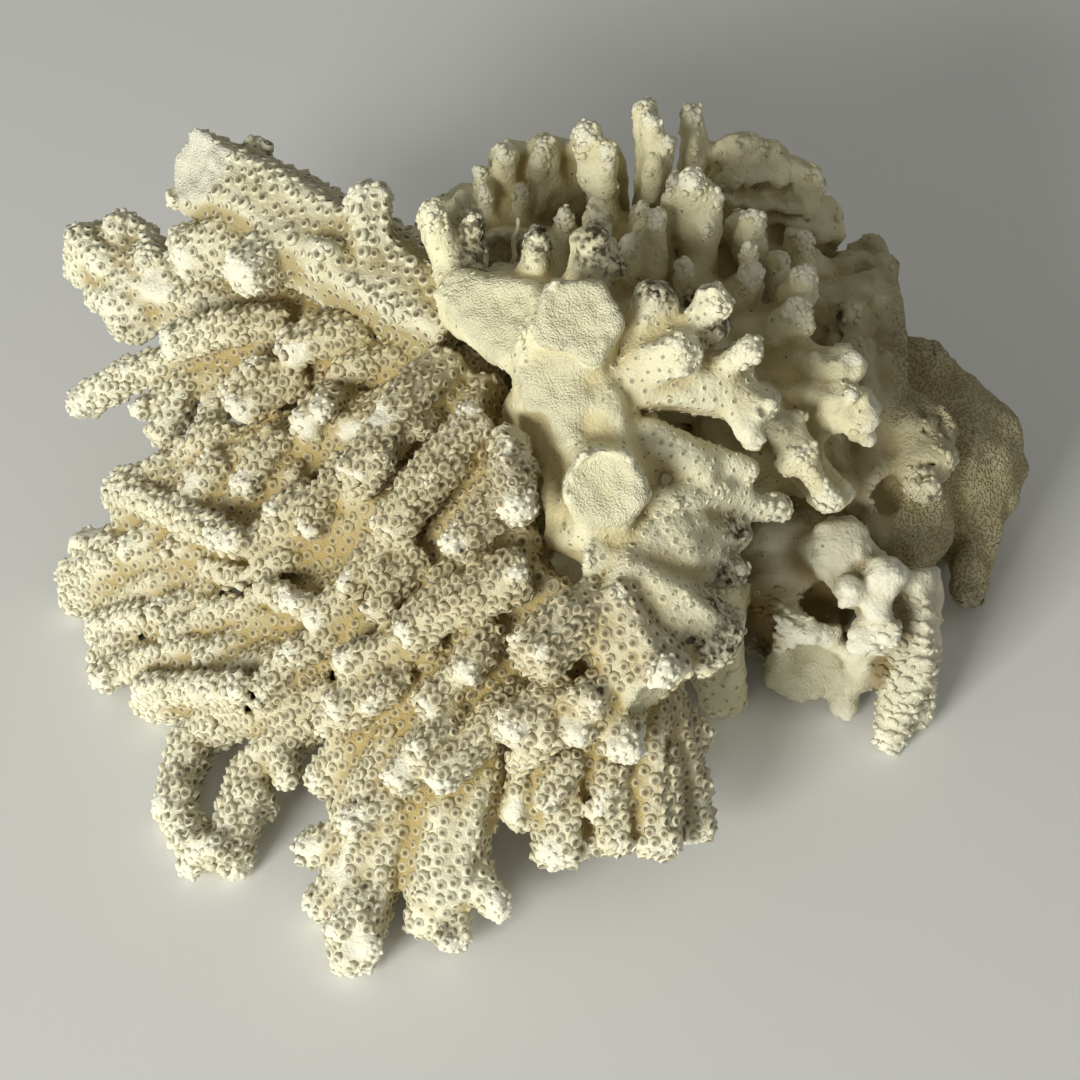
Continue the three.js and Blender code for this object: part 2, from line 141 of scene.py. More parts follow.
def sampled(field, points):
    """The field's value at each point."""
    place = points / VOXEL - low_cell
    cell = np.clip(np.floor(place).astype(int), 0, np.array(cells) - 2)
    part = place - cell
    value = np.zeros(len(points))
    for corner in range(8):
        step = np.array([corner >> 2 & 1, corner >> 1 & 1, corner & 1])
        weight = np.where(step, part, 1 - part).prod(1)
        value += weight * field[tuple((cell + step).T)]
    return value


def slope(field, points):
    """The way in which the field grows fastest at each point."""
    ways = VOXEL * np.eye(3)
    return unit(np.stack([sampled(field, points + way) - sampled(field, points - way) for way in ways], 1))


def unit(vectors):
    return vectors / np.maximum(np.linalg.norm(vectors, axis=-1, keepdims=True), 1e-9)


def lengths_of(vectors):
    return np.linalg.norm(vectors, axis=-1)


def waves(points, length, seed, count=18, spread=(0.75, 1.35)):
    """Smooth unevenness of about that wavelength, mostly between -1 and 1."""
    draw = np.random.default_rng(seed)
    directions = unit(draw.normal(size=(count, 3)))
    lengths = length * draw.uniform(*spread, count)
    phases = draw.uniform(0, 2 * math.pi, count)
    angles = points @ (directions / lengths[:, None]).T * 2 * math.pi + phases
    return np.sin(angles).sum(1) / math.sqrt(count)


# All unevenness, as height, wavelength and seed: of cuts, scraped places, dirt, tips and ripples, and then
# of the surface all over, on rough places, on sides that face away, on worn parts and between the feet.
UNEVEN = {
    "breaks": (0.3, 4, 61), "holes": (0.3, 3, 62), "scraped": (0.3, 2.5, 33), "patches": (0.5, 2.6, 31),
    "small patches": (0.25, 1.1, 32), "tips": (0.22, 4.5, 41), "ripples": (0.45, 7, 54),
    "fine": (0.1, 3.2, 51), "broad": (0.2, 7, 52), "rough": (1.0, 2.2, 53), "unseen lumps": (0.8, 14, 57),
    "unseen folds": (0.5, 7, 58), "worn folds": (0.3, 6, 55), "lumps": (0.35, 4, 59),
}


def uneven(kind, points):
    height, length, seed = UNEVEN[kind]
    return height * waves(points, length, seed)


def folds(kind, points, mean):
    """Rounded folds with sharp edges, about as high as the surface's mean."""
    height, length, seed = UNEVEN[kind]
    return height * (mean - np.abs(waves(points, length, seed)))


def ramp(value, start, end):
    """0 at start and 1 at end, eased."""
    t = np.clip((value - start) / (end - start), 0, 1)
    return t * t * (3 - 2 * t)


def between(ends, share):
    """The value at that share of the way from the first end to the second."""
    return ends[0] + (ends[1] - ends[0]) * share


# Places on the coral that are read from the picture. A pixel that misses the solids takes the point
# nearest to where its line is this far from the eye.
MISS_DISTANCE = VIEW_DISTANCE - 10


def cad_tree():
    points, triangles = [], []
    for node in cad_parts:
        node_points, node_triangles = solid_mesh(node)
        triangles += [[len(points) + corner for corner in triangle] for triangle in node_triangles]
        points += [point / MM for point in node_points]
    return BVHTree.FromPolygons(points, triangles)


solids = cad_tree()


def spot(u, v, nearer=0.0):
    """The point that shows at pixel (u, v), moved some millimetres nearer to the eye."""
    across = (u - PICTURE_MIDDLE) / PIXELS_PER_MM
    up = (PICTURE_MIDDLE - v) / PIXELS_PER_MM
    line = unit(VIEW_RIGHT * across + VIEW_UP * up - VIEW_BACK * VIEW_DISTANCE)
    hit = solids.ray_cast(Vector(eye), Vector(line))[0]
    if hit is None:
        hit = solids.find_nearest(Vector(eye + line * MISS_DISTANCE))[0]
    return np.array(hit) - line * nearer


def picture_across(points):
    """How far across the picture each point shows, in pixels."""
    off = points - eye
    return PICTURE_MIDDLE + PIXELS_PER_MM * VIEW_DISTANCE * (off @ VIEW_RIGHT) / -(off @ VIEW_BACK)


def closeness(points, places, core):
    """How close each point is to one of the places, from 0 at its radius to 1 at that share of it."""
    share = np.zeros(len(points))
    for place, radius in places:
        share = np.maximum(share, ramp(lengths_of(points - place), radius, radius * core))
    return share


def spots(rows):
    """Places and radii from rows of pixel and radius."""
    return [(spot(u, v), radius) for u, v, radius in rows]


def stretches(line, step):
    """The stretches of a line, each as pixels at most one step apart."""
    ends = zip(line, line[1:])
    return [np.linspace(a, b, math.ceil(math.dist(a, b) / step) + 1) for a, b in ends]


# Small growths that the solids leave out, by node: pixels of the root and of the tip, radii at both, and
# how far the tip stands off towards the eye.
GROWTHS = {
    "fan_upper": [
        (405, 352, 345, 371, 3.2, 2.6, 4), (330, 398, 322, 412, 2.4, 2, 3),
        (262, 372, 232, 388, 2.8, 2.2, 3), (150, 262, 147, 236, 2.8, 2.2, 2), (100, 262, 80, 236, 3, 2.4, 2),
        (120, 300, 98, 296, 3, 2.6, 2),
    ],
    "fan_middle": [
        (440, 418, 422, 431, 2, 1.7, 3), (225, 438, 186, 451, 3, 2.4, 3), (240, 503, 207, 520, 2.8, 2.2, 4),
        (206, 528, 175, 546, 2.6, 2.1, 3), (165, 530, 128, 549, 2.8, 2.2, 3),
        (380, 462, 352, 500, 2.6, 2, 3), (268, 585, 212, 566, 2.2, 2, 2), (128, 492, 106, 512, 3, 2.4, 2),
        (112, 560, 70, 574, 3, 2.4, 2),
    ],
    "fan_lower": [
        (262, 600, 205, 617, 3, 2.4, 3), (205, 597, 160, 611, 2.6, 2, 3), (192, 627, 166, 634, 2.4, 1.5, 3),
        (242, 640, 205, 660, 2.8, 2.2, 3), (480, 560, 440, 580, 2.8, 2.2, 4),
        (330, 640, 290, 655, 2.8, 2.2, 3), (150, 690, 133, 708, 3, 2.6, 1),
        (120, 640, 100, 655, 2.6, 2.2, 1),
    ],
    "loop_branch": [
        (390, 688, 372, 704, 2.6, 2, 3), (180, 790, 163, 806, 2.4, 1.8, 1),
        (250, 790, 268, 806, 2.4, 1.8, 1), (215, 850, 238, 868, 2.6, 2, 1),
        (200, 848, 192, 866, 2.4, 1.8, 1),
    ],
    "front_branch": [
        (520, 690, 488, 713, 2.8, 2.2, 4), (440, 730, 420, 752, 2.6, 2, 3),
        (385, 800, 352, 822, 2.8, 2.2, 3), (360, 900, 338, 930, 2.4, 1.8, 2),
        (362, 920, 370, 945, 2.4, 1.8, 2),
    ],
    "front_right_branch": [
        (545, 735, 518, 762, 2.8, 2.2, 3), (570, 760, 548, 800, 2.8, 2.2, 3),
        (612, 770, 598, 812, 3, 2.4, 3), (650, 700, 663, 672, 3.4, 2.8, 3),
    ],
    "right_mass": [
        (905, 415, 932, 432, 4.6, 4.6, 8), (905, 430, 931, 460, 4.6, 4.4, 9),
        (908, 440, 922, 484, 4, 3.2, 9), (968, 560, 968, 588, 3.4, 2.9, 3),
    ],
    "right_feet": [
        (878, 575, 887, 578, 3, 3, 5), (862, 575, 850, 592, 2, 2.4, 5), (875, 590, 877, 608, 2.2, 2.4, 5),
        (870, 615, 860, 640, 2.2, 2.5, 5), (876, 615, 887, 632, 2, 2.3, 5),
    ],
}

# Fingers of the heads, the horns and the right arms, in the same order. They rise straight up from a root
# on the solid, and are then moved towards the eye.
FINGERS = {
    "crown_left": [
        (508, 185, 508, 157, 2.8, 2.4, 0), (546, 185, 545, 150, 2.6, 2.2, 0),
        (541, 205, 538, 165, 2.4, 2, 1), (556, 205, 556, 165, 1.9, 1.6, 1),
        (590, 180, 587, 138, 2.6, 2.4, 0), (606, 195, 606, 153, 2.2, 1.9, 1),
        (600, 218, 597, 188, 2.2, 1.8, 1), (521, 218, 521, 192, 2, 1.5, 1), (488, 215, 486, 194, 2, 1.6, 1),
        (567, 242, 565, 218, 2, 1.6, 1), (576, 245, 574, 231, 1.6, 1.3, 1),
        (600, 245, 598, 215, 2.2, 1.9, 1), (484, 196, 483, 173, 2.2, 1.8, 0),
        (568, 207, 567, 187, 1.7, 1.4, 1), (613, 207, 613, 187, 1.7, 1.4, 1),
        (463, 216, 463, 200, 1.6, 1.4, 1), (620, 205, 617, 158, 2, 1.7, 0),
    ],
    "crown_middle": [
        (691, 175, 690, 146, 2.4, 2, 1), (666, 225, 668, 200, 1.7, 1.4, 2), (676, 215, 676, 186, 2, 1.8, 2),
        (650, 165, 649, 126, 2.2, 2, 1), (662, 175, 664, 148, 2.2, 1.9, 2),
        (652, 205, 650, 168, 2.4, 2.1, 2), (692, 245, 689, 190, 3, 2.6, 1), (710, 235, 708, 200, 2.4, 2, 1),
        (704, 264, 703, 230, 2.4, 2, 2), (655, 278, 652, 224, 2.9, 2, 1), (631, 275, 632, 244, 2.3, 1.9, 1),
        (640, 232, 642, 208, 1.8, 1.2, 1), (684, 292, 682, 267, 2.2, 1.6, 2),
        (707, 304, 708, 282, 2.2, 1.8, 2),
    ],
    "crown_right": [
        (748, 256, 747, 228, 3.2, 2.7, 1), (746, 270, 747, 250, 2, 1.5, 3), (768, 280, 776, 262, 2.4, 2, 2),
        (742, 296, 749, 278, 2.6, 2.3, 3), (790, 300, 801, 282, 3, 2.6, 2),
        (772, 332, 796, 313, 3.2, 2.7, 2), (800, 334, 809, 330, 1.8, 1.4, 3),
        (800, 264, 801, 240, 2.6, 1.6, 1), (815, 364, 846, 372, 2.6, 2.1, 3),
        (838, 402, 856, 415, 2.8, 2.3, 3), (846, 402, 849, 395, 1.5, 1.2, 3),
        (778, 432, 800, 460, 2.8, 2.3, 4), (778, 412, 803, 416, 1.6, 1.2, 3),
        (812, 428, 830, 424, 1.8, 1.4, 3), (808, 468, 831, 500, 2.4, 2, 4),
    ],
    "right_branch_lower": [(765, 492, 783, 506, 2.2, 1.5, 3)],
    "right_branch_upper": [
        (722, 366, 746, 352, 2.4, 1.9, 2), (700, 318, 716, 308, 2.4, 2.1, 2),
    ],
    "right_branch_middle": [
        (752, 412, 770, 408, 2.2, 1.6, 2), (740, 425, 752, 436, 2.2, 1.7, 2),
    ],
    "holdfast": [
        (536, 275, 537, 243, 2.4, 1.7, 0), (592, 272, 592, 244, 2.7, 2.1, -3),
        (603, 270, 616, 267, 1.8, 1.5, -2), (440, 240, 434, 215, 2.6, 1.7, 0),
        (470, 235, 474, 222, 2.2, 1.8, 1),
    ],
}
ROOT_DEPTH = 1.0

# Ledges and drapes, by node: radius, stand-off from the solids and line of pixels. A line is followed in
# steps of some pixels, and is broken where the solids fall away by more than the gap.
RIDGE_STEP = 7
RIDGE_GAP = 3.5
RIDGES = {
    "right_mass": [
        (2.8, 2.2, [(872, 285), (888, 330), (893, 390), (880, 440), (872, 505)]),
        (1.8, 1.6, [(858, 350), (868, 400), (862, 470)]),
        (1.5, 1.5, [(835, 300), (842, 340), (838, 380)]),
        (1.8, 1.2, [(868, 528), (884, 540)]),
        (1.4, 1.5, [(820, 238), (850, 232), (872, 242)]),
        (1.6, 1.8, [(826, 266), (858, 258), (892, 268)]),
        (1.4, 1.5, [(816, 294), (845, 285), (866, 292)]),
        (1.6, 1.8, [(850, 304), (853, 345), (846, 385)]),
        (1.5, 1.5, [(830, 440), (845, 470), (842, 510)]),
    ],
    "crown_right": [
        (1.5, 1.7, [(752, 206), (775, 203), (800, 205), (814, 214)]),
        (1.5, 1.7, [(720, 184), (745, 178), (770, 178), (800, 174)]),
        (1.5, 1.5, [(785, 160), (810, 176), (826, 196)]),
        (1.5, 1.7, [(770, 224), (795, 220), (813, 228)]),
        (1.3, 1.4, [(770, 180), (764, 194), (770, 204)]),
        (1.3, 1.4, [(799, 180), (808, 195), (812, 208)]),
        (1.4, 1.4, [(722, 150), (750, 142), (772, 150)]),
    ],
    "crown_middle": [(1.3, 1.4, [(722, 184), (720, 198), (745, 206)])],
}

fields = {node: node_field(node) for node in node_names}


def window(centre, reach):
    """The part of the grid around a point, and its cells' places."""
    first = np.maximum(np.floor((centre - reach) / VOXEL).astype(int) - low_cell, 0)
    last = np.minimum(np.ceil((centre + reach) / VOXEL).astype(int) - low_cell + 1, cells)
    part = tuple(slice(a, b) for a, b in zip(first, last))
    axes = [(np.arange(a, b) + c) * VOXEL for a, b, c in zip(first, last, low_cell)]
    return part, np.stack(np.meshgrid(*axes, indexing="ij"), -1)


def add_capsule(node, root, tip, root_radius, tip_radius):
    length = max(np.linalg.norm(tip - root), 1e-6)
    part, places = window((root + tip) / 2, length / 2 + root_radius + FAR_OUT)
    share = np.clip(((places - root) @ (tip - root)) / length ** 2, 0, 1)
    off_axis = lengths_of(places - root - share[..., None] * (tip - root))
    distance = off_axis - between((root_radius, tip_radius), share)
    fields[node][part] = np.minimum(fields[node][part], distance)


def add_growth(node, u, v, tip_u, tip_v, root_radius, tip_radius, stand_off):
    root = spot(u, v, -ROOT_DEPTH)
    tip = spot(tip_u, tip_v, stand_off - tip_radius)
    add_capsule(node, root, tip, root_radius, tip_radius)


def upright(u, v, tip_u, tip_v, lift=0.0):
    """The root on the solid and the tip straight above it of what shows between two pixels."""
    root = spot(u, v, -ROOT_DEPTH)
    across = (tip_u - u) / PIXELS_PER_MM
    up = (v - tip_v) / PIXELS_PER_MM / math.cos(VIEW_ELEVATION)
    return root, root + np.array([across, 0, up]) + lift * VIEW_BACK


def add_finger(node, u, v, tip_u, tip_v, root_radius, tip_radius, lift):
    root, tip = upright(u, v, tip_u, tip_v, lift)
    add_capsule(node, root, tip, root_radius, tip_radius)


def add_ridge(node, radius, stand_off, line):
    for pixels in stretches(line, RIDGE_STEP):
        places = [spot(u, v, stand_off - radius) for u, v in pixels]
        for first, second in zip(places, places[1:]):
            if np.linalg.norm(second - first) < RIDGE_GAP:
                add_capsule(node, first, second, radius, radius)


for add, rows_by_node in ((add_growth, GROWTHS), (add_finger, FINGERS), (add_ridge, RIDGES)):
    for node, rows in rows_by_node.items():
        for row in rows:
            add(node, *row)


# How the nodes grow together at their forks, how far the facets are rounded, on the smooth nodes more,
# and over how far one node's look passes into the next.
FORK_BLEND = 0.3
FACET_ROUNDING = 0.75
SMOOTH_ROUNDING = 1.1
BORDER_REACH = 2.0
# Webs between the limbs of the fan: how wide a gap they fill, how deep they lie and how they blend in.
WEB_REACH = 3.6
WEB_DEPTH = 0.8
WEB_BLEND = 0.7
# Corners that face away from the eye are filled in the same way. The turn is where that is complete.
HIDDEN_REACH = 4.5
HIDDEN_DEPTH = 0.7
HIDDEN_TURN = -0.3
# Creases are made deeper, on the heads less so, and what rounding took off swells up again.
CREASE_REACH = 2.4
CREASE_DEPTH = 0.6
HEADS_LESS = 0.6
CREASE_SWELL = 0.16

nearest = np.minimum.reduce(list(fields.values()))
owner = np.argmin(np.stack([fields[node] for node in node_names]), 0)


def share_of(nodes):
    """How far each cell belongs to one of the nodes, from 0 to 1."""
    numbers = [node_names.index(node) for node in nodes]
    return blurred(np.isin(owner, numbers).astype(np.float32), BORDER_REACH)


def grown_together():
    """The coral's whole form: the nodes as one, with rounded facets, webs and deeper creases."""
    crowding = sum(np.exp((nearest - field) / FORK_BLEND) for field in fields.values())
    joined = nearest - FORK_BLEND * np.log(crowding)
    smooth = share_of(SMOOTH_NODES)
    whole = blurred(joined, FACET_ROUNDING) * (1 - smooth) + blurred(joined, SMOOTH_ROUNDING) * smooth
    web = blurred(whole, WEB_REACH) + WEB_DEPTH + FAR_OUT * (1 - share_of(WEBBED_NODES))
    whole = np.minimum(whole, web) - WEB_BLEND * np.log1p(np.exp(-np.abs(whole - web) / WEB_BLEND))
    outside = blurred(whole, HIDDEN_REACH)
    facing = sum(part * way for part, way in zip(np.gradient(outside, VOXEL), VIEW_BACK))
    fill = outside + HIDDEN_DEPTH + FAR_OUT * (1 - ramp(facing, 0.0, HIDDEN_TURN))
    whole = np.minimum(whole, fill)
    crease = CREASE_DEPTH * (1 - HEADS_LESS * share_of(CROWN_NODES))
    return whole + crease * (whole - blurred(whole, CREASE_REACH)) + CREASE_SWELL * (1 - smooth)


form = grown_together()

# Hollows: pixel, radius and how far its middle lies behind the surface.
HOLLOWS = [
    (497, 250, 4.5, 1.5), (825, 605, 4.5, 1.0), (760, 452, 4.0, 1.0), (447, 928, 1.7, 0.2),
    (886, 495, 3.6, 0.6),
]
HOLLOW_ROOM = 2

# Grooves under the ledges and between the folds: radius, stand-off from the solids and line of pixels,
# followed in steps of some pixels.
GROOVE_STEP = 4
GROOVES = [
    (0.8, 0.3, [(722, 191), (745, 186), (768, 187), (798, 183)]),
    (0.8, 0.3, [(752, 213), (775, 211), (800, 213), (812, 221)]),
    (1.0, 0.2, [(828, 250), (860, 246), (886, 253)]),
    (1.0, 0.2, [(820, 279), (850, 272), (880, 281)]),
    (1.0, 0.4, [(842, 308), (841, 350)]),
    (1.1, 0.4, [(527, 312), (517, 329), (505, 346)]),
    (1.5, 0.1, [(588, 775), (588, 832)]),
    (1.5, 0.1, [(636, 765), (637, 832)]),
    (1.5, 0.1, [(672, 740), (673, 815)]),
    (1.3, 0.1, [(530, 765), (532, 812)]),
    (0.9, 8.2, [(905, 468), (925, 464), (947, 468)]),
    (0.9, 8.6, [(908, 480), (924, 476), (938, 479)]),
    (0.9, 8.2, [(918, 412), (921, 432), (917, 455)]),
    (0.9, 8.0, [(940, 415), (943, 435), (940, 455)]),
]

# Holes seen through the fan: pixel and radius. They start before the solids and run on behind.
HOLES = [
    (238, 591, 1.5), (250, 583, 1.3), (143, 637, 1.0), (249, 708, 1.0), (253, 694, 0.9), (333, 678, 0.9),
]
HOLE_REACH = 14
HOLE_LEAD = 4

# Broken and worn faces: pixel of the middle, radius, depth below the solid, and the way the face looks.
# They are dished and uneven. The level and reach say how far from the face a point still counts as broken.
BREAKS = [
    ((577, 324), 8.4, 2.6, (-0.2, -0.55, 0.81)),
    ((482, 312), 8.6, 1.6, (-0.45, -0.5, 0.74)),
    ((548, 398), 8.0, 1.2, (-0.4, -0.55, 0.73)),
    ((605, 495), 6.6, 2.4, (-0.2, -0.66, 0.72)),
    ((662, 700), 6.0, 1.5, (0.5, -0.75, -0.3)),
    ((808, 680), 7.0, 1.5, (0.0, -0.75, 0.66)),
    ((184, 160), 8.0, 2.4, (-0.72, -0.5, 0.48)),
]
BREAK_ROOM = 1.6
BREAK_DISH = 1.1
BREAK_LEVEL = 0.4
BREAK_REACH = (2.2, 1.2)
BREAK_CORE = 0.9


def uneven_cut(kind, places):
    """How uneven a cut is at each of the grid's places."""
    return uneven(kind, places.reshape(-1, 3)).reshape(places.shape[:-1])


def along_and_aside(off, way):
    """How far points lie along a way and aside from it."""
    along = off @ way
    return along, lengths_of(off - along[..., None] * way)


def add_hollow(u, v, radius, depth):
    centre = spot(u, v, -depth)
    part, places = window(centre, radius + HOLLOW_ROOM)
    form[part] = np.maximum(form[part], radius - lengths_of(places - centre))


def add_groove(radius, stand_off, line):
    for u, v in np.concatenate(stretches(line, GROOVE_STEP)):
        add_hollow(u, v, radius, -stand_off)


def add_hole(u, v, radius):
    start = spot(u, v, HOLE_LEAD)
    way = unit(start - eye)
    part, places = window(start + way * HOLE_REACH / 2, HOLE_REACH)
    depth, aside = along_and_aside(places - start, way)
    cut = np.minimum(radius + uneven_cut("holes", places) - aside, HOLE_REACH - depth)
    form[part] = np.maximum(form[part], cut)


def add_break(pixel, radius, depth, facing):
    facing = unit(np.array(facing, float))
    middle = spot(*pixel) - depth * facing
    part, places = window(middle, radius * BREAK_ROOM)
    above, aside = along_and_aside(places - middle, facing)
    cut = above + uneven_cut("breaks", places) + BREAK_DISH * (1 - (aside / radius) ** 2)
    form[part] = np.where(aside < radius, np.maximum(form[part], cut), form[part])


def broken_at(points, reach=1.0):
    """How much each point lies on a broken or worn face, from 0 to 1. A longer reach takes in its rim."""
    share = np.zeros(len(points))
    for pixel, radius, depth, facing in BREAKS:
        facing = unit(np.array(facing, float))
        above, aside = along_and_aside(points - spot(*pixel) + depth * facing, facing)
        level = ramp(np.abs(above + BREAK_LEVEL), BREAK_REACH[0] * reach, BREAK_REACH[1] * reach)
        share = np.maximum(share, level * ramp(aside, radius * reach, radius * reach * BREAK_CORE))
    return share


for add, rows in ((add_groove, GROOVES), (add_hollow, HOLLOWS), (add_hole, HOLES), (add_break, BREAKS)):
    for row in rows:
        add(*row)
table = (np.arange(cells[2]) + low_cell[2]) * VOXEL
form = np.maximum(form, -table[None, None, :].astype(np.float32))

# How far around a point its hollowness and the solid that crowds round it, which sets painted shade, are
# felt.
NEAR_REACH = 2.2
WIDE_REACH = 7.0
near_hollow = blurred(form, NEAR_REACH)
solid_share = blurred((form < 0).astype(np.float32), WIDE_REACH)

# How far each part of the coral has grown from the trunk, for the way its cups point. It is worked out
# in steps of some cells, inside the form and a little beyond its surface.
GROWTH_STEP = 2
GROWTH_EDGE = 0.8 * VOXEL
GROWTH_BLUR = 1.6
TRUNK_TOP = np.array([-7.0, -8.0, 52.0])
TRUNK_RADIUS = 13
MOST_ROUNDS = 260
ROUNDS_BEYOND = 3
UNREACHED = 1e6
REACHED = 1e5


def shifted_pair(step, shape):
    """The cells that have a neighbour at that step, and those neighbours."""
    here = tuple(slice(max(0, s), n + min(0, s)) for s, n in zip(step, shape))
    there = tuple(slice(max(0, -s), n + min(0, -s)) for s, n in zip(step, shape))
    return here, there


def grown_inside(inside, places):
    """How far the coral has grown from the trunk at each cell inside it."""
    start = lengths_of(places - TRUNK_TOP) < TRUNK_RADIUS
    reached = np.where(start & inside, 0, UNREACHED).astype(np.float32)
    for _ in range(MOST_ROUNDS):
        before = reached.copy()
        for step in [step for step in NEIGHBOURS if step > (0, 0, 0)]:
            cost = GROWTH_STEP * VOXEL * math.sqrt(sum(s * s for s in step))
            for way in (step, tuple(-s for s in step)):
                here, there = shifted_pair(way, inside.shape)
                np.minimum(reached[here], reached[there] + cost, out=reached[here])
        reached[~inside] = UNREACHED
        if np.array_equal(before, reached):
            break
    return reached


def grown_beyond(reached):
    """The same with one more layer of cells around it, which take their neighbours' mean."""
    known = reached < REACHED
    total = np.zeros_like(reached)
    number = np.zeros_like(reached)
    padded = np.pad(np.where(known, reached, 0), 1)
    counted = np.pad(known.astype(np.float32), 1)
    for step in NEIGHBOURS:
        shifted = tuple(slice(s + 1, s + 1 + n) for s, n in zip(step, reached.shape))
        total += padded[shifted]
        number += counted[shifted]
    return np.where(known, reached, np.where(number > 0, total / np.maximum(number, 1), UNREACHED))


def growth_field():
    inside = form[::GROWTH_STEP, ::GROWTH_STEP, ::GROWTH_STEP] < GROWTH_EDGE
    places = np.stack(np.meshgrid(*[np.arange(n) for n in inside.shape], indexing="ij"), -1)
    reached = grown_inside(inside, (places * GROWTH_STEP + low_cell) * VOXEL)
    for _ in range(ROUNDS_BEYOND):
        reached = grown_beyond(reached)
    reached = np.where(reached < REACHED, reached, reached[reached < REACHED].max())
    for axis in range(3):
        reached = reached.repeat(GROWTH_STEP, axis)
    return blurred(reached[: cells[0], : cells[1], : cells[2]].astype(np.float32), GROWTH_BLUR)


growth = growth_field()

# Each node's own surface. It runs on a little under its neighbours, sunk below them.
SEAM_OVERLAP = 1.1
SEAM_SINK = 0.16


def piece_field(node):
    others = np.minimum.reduce([field for name, field in fields.items() if name != node])
    beyond = (fields[node] - others) / 2
    sunk = form + SEAM_SINK * ramp(beyond, 0, SEAM_OVERLAP)
    return np.maximum(sunk, beyond - SEAM_OVERLAP)


def surface_of(field):
    """The closed surface where the field is zero, as points and quads that face outwards."""
    volume = openvdb.FloatGrid(FAR_OUT)
    volume.copyFromArray(np.ascontiguousarray(field, np.float32), ijk=first_cell)
    volume.transform = grid_scale
    points, quads = volume.convertToQuads()
    quads = quads.astype(np.int64)
    points = points.astype(float)
    a, b, c, d = (points[quads[:, i]] for i in range(4))
    volume_sum = (a * np.cross(b, c)).sum() + (a * np.cross(c, d)).sum()
    return largest_body(points, quads[:, ::-1] if volume_sum < 0 else quads)


def largest_body(points, quads):
    """The largest connected part of a surface."""
    parent = np.arange(len(points))
    while True:
        lowest = parent[quads].min(1)
        updated = parent.copy()
        np.minimum.at(updated, quads.ravel(), np.repeat(lowest, 4))
        updated = updated[updated]
        if np.array_equal(updated, parent):
            break
        parent = updated
    bodies, sizes = np.unique(parent[quads[:, 0]], return_counts=True)
    quads = quads[parent[quads[:, 0]] == bodies[sizes.argmax()]]
    used = np.unique(quads)
    renumber = np.full(len(points), -1)
    renumber[used] = np.arange(len(used))
    return points[used], renumber[quads]


surfaces = {node: surface_of(piece_field(node)) for node in node_names}

# Dirty ends of the branches: pixel and radius. Dirt lies in patches, which begin and are full at the levels.
DIRT = [
    (660, 290, 5), (690, 300, 4), (720, 325, 6), (705, 345, 4), (735, 350, 3), (738, 530, 5), (730, 575, 6),
    (715, 600, 6), (735, 640, 7), (700, 640, 4), (712, 660, 4), (480, 235, 5), (472, 222, 4), (592, 250, 6),
    (616, 265, 4), (640, 285, 4), (540, 250, 5), (500, 250, 5), (447, 928, 3), (497, 250, 9), (478, 262, 6),
    (470, 240, 6),
]
PATCH_MEAN = 0.5
PATCH_LEVELS = (-0.3, 0.45)
# Fingers that are dirty at the tip: pixels of root and tip, and radius.
DIRTY_FINGERS = [
    (536, 275, 537, 243, 5), (592, 272, 592, 244, 7), (470, 235, 474, 222, 6), (603, 270, 616, 267, 5),
    (700, 318, 716, 308, 4),
]
# Dark specks caught in the fan, as pixels.
SPECKS = [
    (460, 550), (580, 455), (562, 525), (218, 565), (248, 568), (157, 608), (380, 485), (395, 622),
    (600, 690), (178, 322), (545, 545), (495, 520), (330, 425),
]
SPECK_RADIUS = 1.1

# Where the fine pores of the right mass begin, in pixels across the picture, and the stub without them,
# as pixel and stand-off.
POROUS_EDGE = (885, 905)
BARE_STUB = (928, 455, 8)
BARE_STUB_EDGE = (7.2, 9)

# White places where the cups are scraped off: pixel and radius, and how far in front of and behind
# the solids they reach. Their edges are ragged.
SCRAPED = [
    (238, 271, 3.2), (179, 258, 2.6), (155, 285, 3.4), (242, 411, 2.6), (305, 427, 2.2), (293, 353, 2.6),
    (350, 432, 2.4), (377, 416, 2.2), (67, 240, 2.6), (464, 671, 1.8), (426, 707, 2), (516, 732, 2.2),
    (404, 773, 2.2), (574, 726, 2.2), (615, 746, 2), (434, 779, 1.8), (558, 856, 2.4), (338, 869, 2.2),
    (357, 945, 2.6), (313, 847, 2), (516, 812, 2.4), (313, 619, 2.2), (188, 478, 2.2), (92, 530, 2.6),
    (880, 580, 2.6), (874, 610, 2), (872, 640, 2.4),
]
SCRAPED_DEPTH = 7
SCRAPED_CORE = 0.7

# What counts as hollow (a tan that is partly stain and partly painted shade), as crowded in for painted
# shade, and as a tip: the values where each begins, unevenly for tips, and is full.
HOLLOW_LEVELS = (0.4, -0.45)
PAINTED_SHADE_LEVELS = (0.4, 0.62)
TIP_LEVELS = (1.0, 1.3)
# How far from the trunk the tan middle of the fan begins to fade in, and where it is full.
INNER_GROWTH = (95, 35)


def scraped_at(points):
    """How far the cups are scraped off at each point, from 0 to 1."""
    share = np.zeros(len(points))
    ragged = 1 + uneven("scraped", points)
    for place, radius in spots(SCRAPED):
        depth, aside = along_and_aside(points - place, unit(place - eye))
        near = ramp(aside, radius * ragged, radius * ragged * SCRAPED_CORE)
        share = np.maximum(share, near * (np.abs(depth) < SCRAPED_DEPTH))
    return share


def dirt_at(points):
    """How dirty the coral is at each point, from 0 to 1."""
    patches = PATCH_MEAN + uneven("patches", points) + uneven("small patches", points)
    tips = [(upright(*pixels)[1], radius) for *pixels, radius in DIRTY_FINGERS]
    specks = spots((u, v, SPECK_RADIUS) for u, v in SPECKS)
    dirt = closeness(points, spots(DIRT) + tips, core=0.3) * ramp(patches, *PATCH_LEVELS)
    return np.maximum(dirt, closeness(points, specks, core=0.4))


def porous_at(points):
    """How finely porous the right mass is at each point, from 0 to 1."""
    off_stub = lengths_of(points - spot(*BARE_STUB))
    return ramp(picture_across(points), *POROUS_EDGE) * ramp(off_stub, *BARE_STUB_EDGE)


